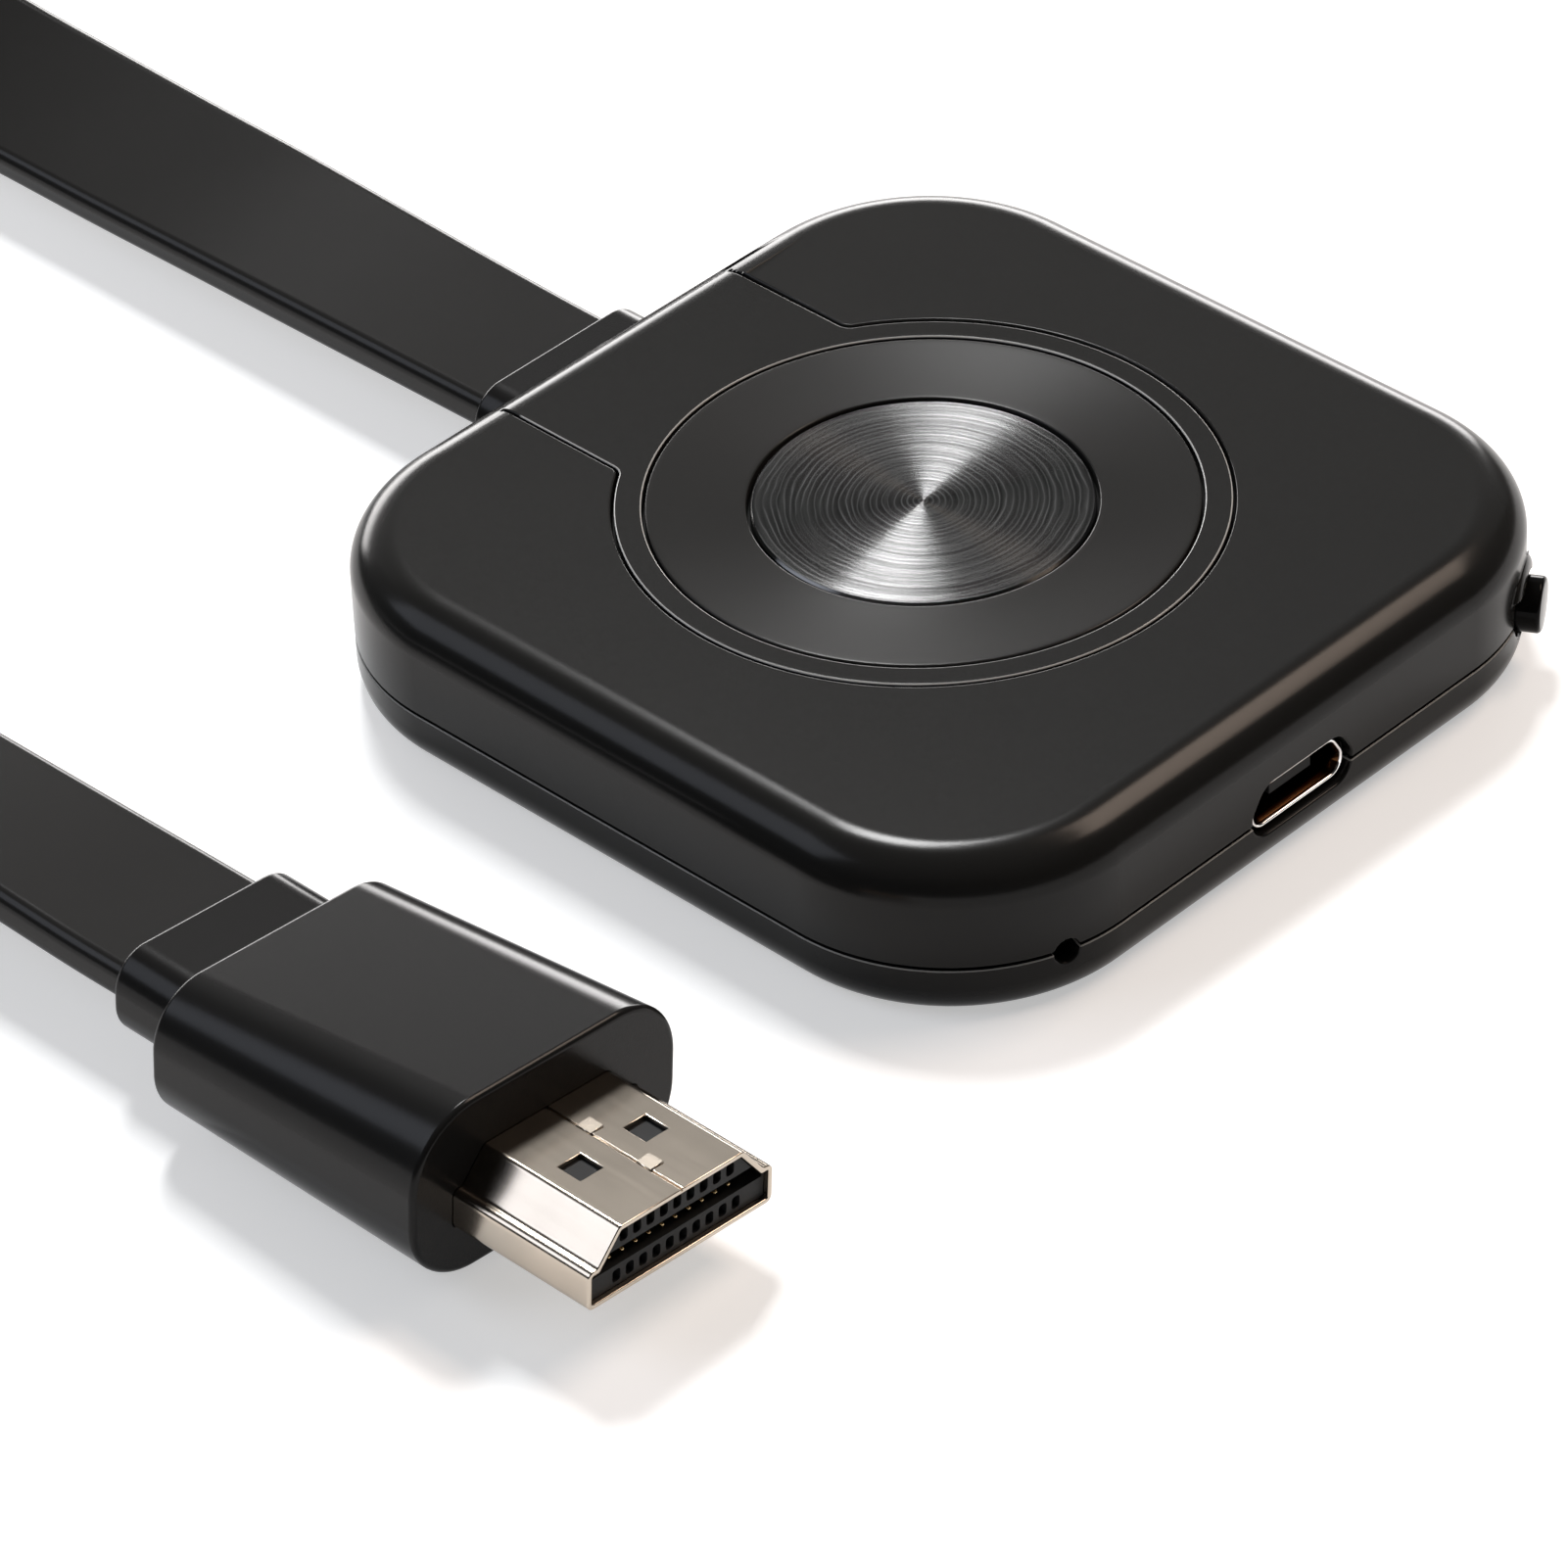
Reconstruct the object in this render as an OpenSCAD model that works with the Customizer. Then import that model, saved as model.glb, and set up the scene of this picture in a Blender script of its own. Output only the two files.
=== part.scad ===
// Wireless display dongle: square housing, flat tethered cable and video plug.
// The origin is the centre of the housing's underside. +Z is up, +Y is the cable side.

/* [Housing] */
// Width and depth of the square housing
housing_w = 56; // [54:0.5:62]
// Height of the closed housing
housing_h = 10.5; // [10:0.1:12]
// Corner radius of the housing, seen from above
corner_r = 12.8; // [12:0.1:14]
// Height of the parting line above the table
seam_z = 3.5; // [3.3:0.1:3.8]
// Thickness of the side walls
wall_t = 1.5; // [1.4:0.05:1.7]
// Thickness of the floor
floor_t = 1.2; // [1:0.05:1.3]
// Thickness of the roof
roof_t = 1.6; // [1.5:0.05:1.9]
// How far in from the side the rounded top edge starts
top_edge_in = 3; // [2.2:0.1:3.6]
// How far down from the top the rounded top edge ends
top_edge_down = 2.7; // [2:0.1:2.9]
// How far in from the side the rounded bottom edge starts
bottom_edge_in = 1.8; // [1:0.1:2.2]
// Height of the rounded bottom edge
bottom_edge_up = 2.2; // [1.4:0.1:2.6]
// Height of the shadow gap along the parting line
shadow_gap_h = 0.2; // [0.1:0.05:0.3]
// Depth of the shadow gap along the parting line
shadow_gap_d = 0.35; // [0.2:0.05:0.4]
// Height of the lip that locates the two covers
lip_h = 1; // [0.7:0.1:1.3]
// Thickness of the lip that locates the two covers
lip_t = 0.7; // [0.6:0.05:0.75]

/* [Top inlay] */
// Thickness of the keyhole panel
panel_t = 1; // [0.8:0.05:1.1]
// Width of the keyhole panel's rim round the dished ring
panel_rim_w = 1.6; // [1.2:0.1:2.2]
// How far the round head sits from the middle, towards the cable
head_y = 1.1; // [0:0.1:2]
// Width of the tongue of the keyhole panel
panel_tongue_w = 19.2; // [16:0.2:22]
// Radius of the inner corners between head and tongue
panel_fillet_r = 1; // [0.6:0.1:1.4]
// Width of the dished ring
dish_w = 5.9; // [5.2:0.1:6.4]
// Depth of the dish at its inner edge
dish_depth = 0.2; // [0.15:0.05:0.35]
// Depth of the dish at its outer edge
dish_step = 0.05; // [0.02:0.01:0.1]
// Radius of the spun metal disc
disc_r = 10.1; // [9:0.1:11]
// Thickness of the spun metal disc
disc_t = 0.75; // [0.6:0.05:0.8]
// Width of the grooves between the inlay pieces
groove_w = 0.2; // [0.1:0.05:0.3]

/* [Mode button] */
// Diameter of the button cap
button_d = 3.4; // [3:0.1:3.8]
// How far the cap stands out of the corner
button_proud = 1.25; // [1:0.05:1.6]
// Height of the button's axis above the table
button_z = 4.1; // [4:0.05:4.3]
// Direction of the button's axis, in degrees from +X
button_angle = -60; // [-64:1:-54]
// Diameter of the flange that keeps the button in
button_flange_d = 4.6; // [4.4:0.1:5]
// Thickness of the flange
button_flange_t = 0.6; // [0.5:0.05:0.7]
// Running clearance round the cap and behind the flange
button_fit = 0.05; // [0.03:0.01:0.08]
// How far the button travels
button_travel = 0.4; // [0.2:0.05:0.5]
// Width of the hood over the button
hood_w = 0.9; // [0.6:0.1:1.2]
// How far the hood stands out
hood_proud = 0.3; // [0.2:0.05:0.4]

/* [Power port] */
// Width of the port shell
port_w = 7.5; // [7.2:0.1:7.8]
// Height of the port shell
port_h = 2.5; // [2.3:0.05:2.6]
// Width of the narrow upper side of the port shell
port_top_w = 5.9; // [5.6:0.1:6.2]
// Depth of the port shell
port_d = 5; // [4.5:0.1:5.5]
// Height of the middle of the port above the table
port_z = 4.2; // [4.1:0.05:4.4]
// Thickness of the port shell's sheet
port_sheet_t = 0.25; // [0.2:0.05:0.3]
// How far the port sits behind the face of the housing
port_recess = 0.4; // [0.2:0.05:0.6]
// Clearance round the port shell
port_clear = 0.5; // [0.4:0.05:0.6]
// How far the mouth of the port flares out
port_flare = 0.22; // [0.1:0.02:0.3]

/* [Pinhole] */
// Diameter of the light hole on the parting line
pinhole_d = 1.6; // [1.2:0.1:2]
// Direction of the light hole, in degrees from +X
pinhole_angle = -108; // [-116:1:-100]

/* [Circuit board] */
// Thickness of the circuit board
board_t = 1; // [0.8:0.05:1]
// Gap between the board and the walls
board_gap = 0.9; // [0.8:0.1:1.2]
// Radius of the posts that clamp the board
post_r = 1.6; // [1.4:0.1:1.9]
// Radius of the locating pins
pin_r = 0.75; // [0.6:0.05:0.9]
// Distance of the posts from the side faces
post_inset = 8.6; // [7.5:0.1:9.5]
// Side of the main chip
chip_w = 12; // [10:0.5:13]
// Thickness of the main chip
chip_t = 1; // [0.8:0.1:1.2]
// Side of the heat sink
sink_w = 15; // [13:0.5:18]
// Air gap between the heat sink and the roof
sink_air = 1.2; // [0.8:0.1:2]
// Number of fins on the heat sink
sink_fins = 7; // [5:1:9]
// Side of the shield can
can_w = 10; // [8:0.5:12]
// Height of the shield can
can_h = 1.8; // [1.5:0.1:2.4]

/* [Cable] */
// Width of the flat cable
cable_w = 11.6; // [10:0.1:12]
// Thickness of the flat cable
cable_t = 2.4; // [2:0.1:2.6]
// How much wider than the cable the gland is on each side
gland_side = 1.3; // [1:0.1:1.5]
// How much higher than the cable the gland is above and below
gland_rise = 1.4; // [1:0.1:1.5]
// How far the gland stands out of the housing
gland_out = 3.7; // [3:0.1:4.5]
// Depth of the waist by which the wall holds the gland
gland_waist = 0.4; // [0.3:0.05:0.5]
// Thickness of the flange inside the wall
gland_flange_t = 1.1; // [0.9:0.1:1.3]

/* [Plug] */
// How much wider than the cable the plug's neck is on each side
neck_side = 1; // [0.8:0.1:1.4]
// How much higher than the cable the plug's neck is above and below
neck_rise = 1.6; // [1.3:0.1:2]
// Length of the neck behind the plug body
neck_l = 5.8; // [4.5:0.1:7]
// How much wider than the neck the rear end of the plug body is on each side
body_side = 2.5; // [2.2:0.1:3]
// How much higher than the neck the rear end of the plug body is above and below
body_rise = 1.6; // [1.4:0.1:2]
// How much wider the plug body is in front than at its rear end
body_taper_w = 1.2; // [0.8:0.1:1.6]
// How much higher the plug body is in front than at its rear end
body_taper_h = 2.3; // [1.9:0.1:2.6]
// Length of the moulded plug body
plug_l = 21; // [18:0.2:24]
// Corner radius of the plug body's section
plug_r = 4.6; // [3.5:0.1:5.2]
// Width of the plug shell, fixed by the connector's standard
shell_w = 13.9; // [13.8:0.05:14]
// Height of the plug shell, fixed by the connector's standard
shell_h = 4.45; // [4.4:0.05:4.5]
// Width of the narrow side of the plug shell
shell_top_w = 9.3; // [9:0.1:9.8]
// Height of the upright sides of the plug shell
shell_side_h = 2.5; // [2.3:0.05:2.7]
// Width of the ledge between the upright and the sloping sides
shell_ledge = 0.7; // [0.5:0.05:0.9]
// How far the plug shell stands out of the body
shell_out = 10.1; // [9.8:0.1:10.6]
// Thickness of the plug shell's sheet
shell_t = 0.3; // [0.25:0.05:0.35]
// How far the plug shell reaches into the body
shell_root = 6; // [5:0.5:8]
// How far the plug is rolled on the table by its stiff cable, in degrees
plug_roll = 5; // [0:1:8]
// Side of the square windows in the plug shell, two above and two below
window_w = 1.7; // [1.4:0.1:2]
// Distance between the middles of two windows
window_pitch = 4.9; // [4.4:0.1:5.4]
// Distance from the inside of the shell to the middle of the last contact
contact_side = 2.15; // [2:0.05:2.3]
// Width of a contact cavity
cavity_w = 0.68; // [0.6:0.02:0.74]
// Number of contacts in the lower row
contact_count = 10; // [9:1:10]

/* [Hidden] */

// One overrun serves all cuts
over = 1;
// Arc steps of rounded outlines and facets of round pieces
arc_steps = 6;
edge_steps = 8;
ease_steps = 3;
round_fn = 96;
// Thickness of the slices between which tapered forms are stretched
slice_t = 0.01;

// Housing, worked out from the driving sizes
half_w = housing_w / 2;
corner_c = half_w - corner_r;
cavity_r = corner_r - wall_t;
cavity_top = housing_h - roof_t;
cavity_chamfer = 0.4 * wall_t;
lip_gap = 0.05;
inlay_z = housing_h - panel_t;
dish_inner_r = disc_r + groove_w;
ring_r = dish_inner_r + dish_w;
panel_head_r = ring_r + groove_w + panel_rim_w;

// Board and its posts
board_top = port_z - port_h / 2;
board_bottom = board_top - board_t;
board_half = half_w - wall_t - board_gap;
board_r = corner_r - wall_t - board_gap;
board_rear = half_w - wall_t - gland_flange_t - board_gap;
post_rear_y = half_w - post_inset - 1.5 * post_r;
post_front_y = -half_w + post_inset + 4 * post_r;
pin_gap = 0.1;
pin_depth = 0.5 * floor_t;
post_root = 0.5 * (roof_t - panel_t);
post_places = [
  [half_w - post_inset, post_rear_y], [-half_w + post_inset, post_rear_y],
  [half_w - post_inset, post_front_y], [-half_w + post_inset, post_front_y]
];
pad_t = 0.5;
pad_inset = 0.5;
sink_base_share = 0.4;
sink_fin_share = 0.45;
can_sheet_t = 0.3;
memory_size = [8, 11, 0.9];
flash_size = [5, 4, 0.8];
crystal_size = [3.2, 2.5, 0.7];
inductor_size = [3.6, 3.6, 1.6];
capacitor_size = [1.6, 0.8, 0.8];
antenna_size = [1.6, 5.2, 1.1];
led_size = [0.8, 1.6, 0.6];
sink_h = cavity_top - sink_air - board_top - chip_t - pad_t;
part_gap = 0.7;
// Places on the board, as shares of its half width
chip_share = [0.05, -0.08];
memory_share = 0.06;
can_share = 0.12;
antenna_share = -0.1;
flash_share = [0.02, 0.56];
crystal_share = [-0.36, -0.58];
inductor_shares = [[0.28, -0.62], [0.48, -0.62]];
capacitor_first_share = [-0.16, -0.64];
capacitor_step_share = 0.1;
capacitor_columns = 4;
capacitor_rows = 2;
// The memory chip and the shield can line up beside the heat sink, the antenna sits at the board's edge
chip_place = board_half * chip_share;
memory_place = [chip_place[0] + (sink_w + memory_size[0]) / 2 + part_gap, board_half * memory_share];
can_place = [chip_place[0] - (sink_w + can_w) / 2 - part_gap, board_half * can_share];
antenna_place = [part_gap + antenna_size[0] / 2 - board_half, board_half * antenna_share];

// Button, measured along its axis from the centre of the corner arc
button_r = button_d / 2;
button_seat = corner_r - 0.8 * wall_t;
button_flange_front = button_seat - button_fit;
button_flange_back = button_flange_front - button_flange_t;
button_front = corner_r + button_proud;
button_edge = 0.25;
button_halo = 0.3;
button_halo_d = 0.3 * wall_t;
hood_z = button_z + 0.45 * button_d;
plunger_r = 0.9;
plunger_show = 0.7;
plunger_in = 0.8;
switch_size = [3, 4.6, 2 * (button_z - board_top)];
switch_front = button_flange_back - plunger_show;

// Power port
port_front = -half_w + port_recess;
port_slope_h = 0.5 * port_h;
port_flare_l = 0.5;
tongue_w = 0.6 * port_top_w;
tongue_t = 0.7;
tongue_up = 0.1 * port_h;
tongue_back = 0.3 * port_d;
tongue_short = 0.6;
port_pad_count = 5;
port_pad_pitch = 0.65;
port_pad_w = 0.35;
port_pad_t = 0.08;
port_corner_r = 0.85;

// Gland and cable leads
cable_z = (floor_t + cavity_top - cavity_chamfer) / 2;
gland_w = cable_w + 2 * gland_side;
gland_h = cable_t + 2 * gland_rise;
gland_r = 0.45 * gland_h;
gland_face = half_w + gland_out;
gland_fit = 0.05;
gland_flange_rise = 0.3;
gland_back = half_w - wall_t - gland_fit - gland_flange_t;
gland_ease = 0.3;
lead_count = 9;
lead_r = 0.3;
lead_pitch = 1.1;
lead_l = 4;

// Cable route: x, y, z and the turn of the flat side about the route, in degrees.
// It starts at the gland and ends at the neck of the plug.
cord_points = [
  [0, 37, 4.75, 1], [0, 44, 4.8, 3], [0, 52, 4.9, 6], [0, 60, 5, 9],
  [0, 68, 5, 11], [0, 76, 5.1, 13], [0, 84, 5.2, 16], [0, 92, 5.5, 22], [0, 100, 5.8, 36],
  [-1, 106.5, 5.9, 54], [-3.5, 112.5, 5.9, 71], [-7.5, 118, 5.9, 84], [-12.5, 122, 5.9, 90],
  [-19, 124.5, 5.9, 90], [-25.5, 125.5, 5.9, 90], [-32.5, 124.5, 5.9, 90],
  [-39, 122, 5.9, 90], [-44.2, 118, 5.9, 84], [-48.2, 112.5, 5.9, 71], [-50.6, 106.5, 5.9, 54],
  [-51.5, 100, 5.8, 36], [-51.7, 92, 5.5, 22], [-51.7, 82, 5.2, 14], [-51.7, 70, 5, 11],
  [-51.7, 58, 4.9, 10], [-51.7, 46, 4.8, 10], [-51.7, 34, 4.8, 9], [-51.7, 22, 4.8, 7],
  [-51.7, 13, 4.8, 5]
];
cord_end = [-51.6, 7.6];
cord_edge = 0.35 * cable_t;

// Plug, measured from the end of the cable towards the mating end
neck_w = cable_w + 2 * neck_side;
neck_h = cable_t + 2 * neck_rise;
plug_w = neck_w + 2 * body_side + body_taper_w;
plug_h = neck_h + 2 * body_rise + body_taper_h;
plug_x = cord_end[0];
// The rolled plug rests on one of its lower round edges
plug_z = plug_r + (plug_h / 2 - plug_r) * cos(plug_roll) + (plug_w / 2 - plug_r) * sin(plug_roll);
rear_drop = body_taper_h / 2;
neck_r = 0.42 * neck_h;
neck_front = cord_end[1] - neck_l;
body_front = neck_front - plug_l;
shell_front = body_front - shell_out;
shell_length = shell_out + shell_root;
shell_corner_r = 0.45;
shell_fit = 0.03;
plug_ease = 0.35;
window_back = 5.1;
seam_w = 0.1;
seam_tab = [0.9, 1.2];
seam_tab_share = [0.28, 0.72];
insulator_recess = 0.35;
insulator_fit = 0.03;
insulator_base_share = 0.36;
insulator_slot_share = 0.27;
insulator_depth = 11;
insulator_h = shell_h - 2 * shell_t;
insulator_base_top = (insulator_base_share - 0.5) * insulator_h;
insulator_slot_h = insulator_slot_share * insulator_h;
insulator_front = shell_front + insulator_recess;
slot_side = 0.5;
cavity_h = 0.8;
cavity_depth = 3;
contact_pitch = (shell_w - 2 * shell_t - 2 * contact_side) / (contact_count - 1);
contact_w = 0.4;
contact_t = 0.25;
contact_l = 9;
contact_set_back = 0.5;

// Helpers for outlines. Outlines run counterclockwise.
function at(points, i) = points[(i + len(points)) % len(points)];
function unit(v) = v / norm(v);
function inward(a, b) = let (d = unit(b - a)) [-d[1], d[0]];
function meet(p, d, q, e) =
  let (w = q - p) p + d * ((w[0] * e[1] - w[1] * e[0]) / (d[0] * e[1] - d[1] * e[0]));
// Moves each side of an outline inwards by t, or outwards if t is below zero
function inset(points, t) = [
  for (i = [0 : len(points) - 1])
    let (a = at(points, i - 1), b = points[i], c = at(points, i + 1))
    meet(a + t * inward(a, b), b - a, b + t * inward(b, c), c - b)
];
// Rounds one corner of an outline, which may turn either way
function corner_arc(a, b, c, r) =
  let (u = unit(a - b), v = unit(c - b), half = acos(u * v) / 2,
       way = sign(v[0] * u[1] - v[1] * u[0]),
       centre = b + unit(u + v) * r / sin(half),
       first = b + u * r / tan(half) - centre,
       start = atan2(first[1], first[0]), sweep = way * (180 - 2 * half))
  [for (k = [0 : arc_steps]) let (t = start + sweep * k / arc_steps) centre + r * [cos(t), sin(t)]];
function rounded(points, r) = [
  for (i = [0 : len(points) - 1]) each corner_arc(at(points, i - 1), points[i], at(points, i + 1), r)
];
function box_outline(w, h) = [[-w / 2, -h / 2], [w / 2, -h / 2], [w / 2, h / 2], [-w / 2, h / 2]];
function ellipse_arc(centre, a, b, from, to) = [
  for (k = [0 : edge_steps]) let (t = from + (to - from) * k / edge_steps) centre + [a * cos(t), b * sin(t)]
];

// Section of the upper half of the housing from height z, moved in by d all round
function upper_section(z, d) = concat(
  [[0, z], [corner_r - d, z]],
  ellipse_arc([corner_r - top_edge_in, housing_h - top_edge_down], top_edge_in - d, top_edge_down - d, 0, 90),
  [[0, housing_h - d]]
);
// Section of the lower half of the housing
lower_section = concat(
  [[0, 0]],
  ellipse_arc([corner_r - bottom_edge_in, bottom_edge_up], bottom_edge_in, bottom_edge_up, -90, 0),
  [[corner_r, seam_z], [0, seam_z]]
);
function plain_section(r, low, high) = [[0, low], [r, low], [r, high], [0, high]];
cavity_section = [
  [0, floor_t], [cavity_r, floor_t], [cavity_r, cavity_top - cavity_chamfer],
  [cavity_r - cavity_chamfer, cavity_top], [0, cavity_top]
];

// A square solid with round corners, whose side has the given section
module round_square(section) {
  count = len(section);
  for (turn = [0 : 90 : 270])
    rotate([0, 0, turn]) translate([corner_c, corner_c, 0])
      rotate_extrude(angle = 90, $fn = round_fn) polygon(section);
  plate = concat(
    [for (p = section) [corner_c + p[0], p[1]]],
    [for (i = [count - 1 : -1 : 0]) [-corner_c - section[i][0], section[i][1]]]
  );
  for (turn = [0, 90])
    rotate([0, 0, turn]) rotate([90, 0, 0]) linear_extrude(2 * corner_c, center = true) polygon(plate);
}

// A prism along Y of an outline in X and Z, from y to y + l
module along_y(outline, y, l) {
  translate([0, y + l, 0]) rotate([90, 0, 0]) linear_extrude(l) polygon(outline);
}

// A bar along Y with a rounded section and eased edges at both ends. Its far end may be
// smaller by the given taper in width and height, with the underside kept level.
module eased_bar(w, h, r, y, l, ease, taper = [0, 0]) {
  far_w = w - taper[0];
  far_h = h - taper[1];
  far_r = r * far_h / h;
  hull() for (k = [0 : ease_steps]) {
    t = 90 * k / ease_steps;
    in = ease * (1 - sin(t));
    back = ease * (1 - cos(t));
    near = rounded(box_outline(w - 2 * in, h - 2 * in), r - in);
    far = rounded(box_outline(far_w - 2 * in, far_h - 2 * in), far_r - in);
    along_y(near, y + back, slice_t);
    translate([0, 0, -taper[1] / 2]) along_y(far, y + l - back - slice_t, slice_t);
  }
}

module on_button_axis() {
  translate([corner_c, -corner_c, button_z]) rotate([0, 0, button_angle]) rotate([0, 90, 0]) children();
}

module on_pinhole_axis() {
  translate([-corner_c, -corner_c, seam_z]) rotate([0, 0, pinhole_angle]) rotate([0, 90, 0]) children();
}

// Outline of the keyhole: a round head and a tongue that runs out at the cable side
module keyhole(extra) {
  head = panel_head_r + extra;
  side = panel_tongue_w / 2 + extra;
  fillet = panel_fillet_r - extra;
  fillet_y = sqrt(pow(head + fillet, 2) - pow(side + fillet, 2));
  translate([0, head_y]) circle(head, $fn = round_fn);
  translate([-side, 0]) square([2 * side, half_w + over]);
  for (flip = [0, 1]) translate([0, head_y]) mirror([flip, 0]) difference() {
    centre = [side + fillet, fillet_y];
    polygon([[0, 0], centre * head / (head + fillet), centre, [side, fillet_y], [0, fillet_y]]);
    translate(centre) circle(fillet, $fn = round_fn);
  }
}

port_outline = [
  [-port_w / 2, -port_h / 2], [port_w / 2, -port_h / 2], [port_w / 2, port_h / 2 - port_slope_h],
  [port_top_w / 2, port_h / 2], [-port_top_w / 2, port_h / 2], [-port_w / 2, port_h / 2 - port_slope_h]
];

module at_port() {
  translate([0, port_front, port_z]) children();
}

module at_gland() {
  translate([0, 0, cable_z]) children();
}

// Openings that pass through the walls of both covers
module wall_openings() {
  at_port() along_y(rounded(inset(port_outline, -port_clear), port_corner_r + port_clear),
                    -port_recess - over, port_recess + over + wall_t + over);
  on_button_axis() {
    translate([0, 0, board_r])
      cylinder(h = button_front - board_r, r = button_r + button_fit, $fn = round_fn);
    translate([0, 0, corner_r - button_halo_d])
      cylinder(h = button_halo_d + over, r = button_r + button_halo, $fn = round_fn);
    translate([0, 0, board_r])
      cylinder(h = button_seat - board_r, r = button_flange_d / 2 + button_fit, $fn = round_fn);
  }
  on_pinhole_axis() translate([0, 0, board_r])
    cylinder(h = corner_r - board_r + over, r = pinhole_d / 2, $fn = round_fn);
  at_gland() along_y(
    rounded(box_outline(gland_w - 2 * gland_waist + 2 * gland_fit, gland_h - 2 * gland_waist + 2 * gland_fit),
            gland_r - gland_waist),
    half_w - wall_t - over, wall_t + 2 * over);
}

module bottom_cover() {
  color([0.10, 0.10, 0.10]) difference() {
    union() {
      difference() {
        union() {
          round_square(lower_section);
          round_square(plain_section(cavity_r + lip_t, floor_t, seam_z + lip_h));
        }
        round_square(cavity_section);
      }
      for (p = post_places) translate([p[0], p[1], floor_t / 2])
        cylinder(h = board_bottom - floor_t / 2, r = post_r, $fn = round_fn);
    }
    for (p = post_places) translate([p[0], p[1], floor_t - pin_depth - pin_gap])
      cylinder(h = board_bottom, r = pin_r + pin_gap, $fn = round_fn);
    wall_openings();
  }
}

module top_cover() {
  rebate_r = cavity_r + lip_t + lip_gap;
  color([0.13, 0.13, 0.13]) {
    difference() {
      union() {
        round_square(upper_section(seam_z, 0));
        intersection() {
          on_button_axis() difference() {
            cylinder(h = corner_r + hood_proud, r = button_r + button_halo + hood_w, $fn = round_fn);
            cylinder(h = button_front, r = button_r + button_halo, $fn = round_fn);
          }
          translate([0, -housing_w, hood_z]) cube([housing_w, housing_w, cavity_top - hood_z]);
        }
      }
      round_square(cavity_section);
      round_square(plain_section(rebate_r, seam_z - over, seam_z + lip_h + lip_gap));
      difference() {
        translate([0, 0, seam_z - over]) linear_extrude(over + shadow_gap_h)
          square(housing_w + 2 * over, center = true);
        round_square(plain_section(corner_r - shadow_gap_d, seam_z - 2 * over, seam_z + over));
      }
      difference() {
        translate([0, 0, housing_h - top_edge_down - groove_w]) linear_extrude(top_edge_down + over)
          keyhole(groove_w);
        round_square(upper_section(seam_z, panel_t));
      }
      wall_openings();
    }
    for (p = post_places) translate([p[0], p[1], board_top])
      cylinder(h = cavity_top + post_root - board_top, r = post_r, $fn = round_fn);
    for (p = post_places) translate([p[0], p[1], floor_t - pin_depth])
      cylinder(h = board_top + over - floor_t + pin_depth, r = pin_r, $fn = round_fn);
  }
}

module keyhole_panel() {
  color([0.14, 0.14, 0.14]) difference() {
    intersection() {
      round_square(upper_section(seam_z, 0));
      translate([0, 0, housing_h - top_edge_down]) linear_extrude(top_edge_down + over) keyhole(0);
    }
    round_square(upper_section(seam_z - over, panel_t));
    translate([0, head_y, inlay_z - over])
      cylinder(h = panel_t + 2 * over, r = ring_r + groove_w, $fn = round_fn);
  }
}

module dish_ring() {
  slope = [for (k = [0 : edge_steps]) let (s = k / edge_steps)
    [ring_r - dish_w * s, housing_h - dish_step - (dish_depth - dish_step) * sin(90 * s)]];
  color([0.17, 0.17, 0.17]) translate([0, head_y, 0]) rotate_extrude($fn = round_fn)
    polygon(concat([[dish_inner_r, inlay_z], [ring_r, inlay_z]], slope));
}

module metal_disc() {
  rim = 0.2 * disc_t;
  color([0.72, 0.73, 0.74]) translate([0, head_y, 0]) rotate_extrude($fn = round_fn) polygon([
    [0, inlay_z], [disc_r, inlay_z], [disc_r, inlay_z + disc_t - rim], [disc_r - rim, inlay_z + disc_t],
    [0, inlay_z + disc_t]
  ]);
}

module mode_button() {
  color([0.08, 0.08, 0.08]) on_button_axis() rotate_extrude($fn = round_fn) polygon([
    [0, button_flange_back], [button_flange_d / 2 - button_fit, button_flange_back],
    [button_flange_d / 2 - button_fit, button_flange_front], [button_r, button_flange_front],
    [button_r, button_front - button_edge], [button_r - button_edge, button_front], [0, button_front]
  ]);
}

module switch_plunger() {
  color([0.85, 0.82, 0.75]) on_button_axis() translate([0, 0, switch_front - plunger_in])
    cylinder(h = plunger_in + plunger_show, r = plunger_r, $fn = round_fn);
}

module switch_body() {
  color([0.2, 0.2, 0.22]) on_button_axis() difference() {
    translate([-switch_size[2] / 2, -switch_size[1] / 2, switch_front - switch_size[0]])
      cube([switch_size[2], switch_size[1], switch_size[0]]);
    translate([0, 0, switch_front - plunger_in - button_travel - button_fit])
      cylinder(h = switch_size[0], r = plunger_r + button_fit, $fn = round_fn);
  }
}

module main_board() {
  color([0.05, 0.28, 0.16]) difference() {
    translate([0, 0, board_bottom]) linear_extrude(board_t) difference() {
      polygon(rounded(box_outline(2 * board_half, 2 * board_half), board_r));
      translate([-board_half - over, board_rear]) square([2 * (board_half + over), board_half]);
    }
    for (p = post_places) translate([p[0], p[1], board_bottom - over])
      cylinder(h = board_t + 2 * over, r = pin_r + pin_gap, $fn = round_fn);
  }
}

// A flat block that stands on the board
module on_board(place, size) {
  translate([place[0] - size[0] / 2, place[1] - size[1] / 2, board_top]) cube(size);
}

module main_chip() {
  color([0.12, 0.12, 0.13]) on_board(chip_place, [chip_w, chip_w, chip_t]);
}

module thermal_pad() {
  side = chip_w - 2 * pad_inset;
  color([0.55, 0.6, 0.68]) translate([0, 0, chip_t]) on_board(chip_place, [side, side, pad_t]);
}

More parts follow.
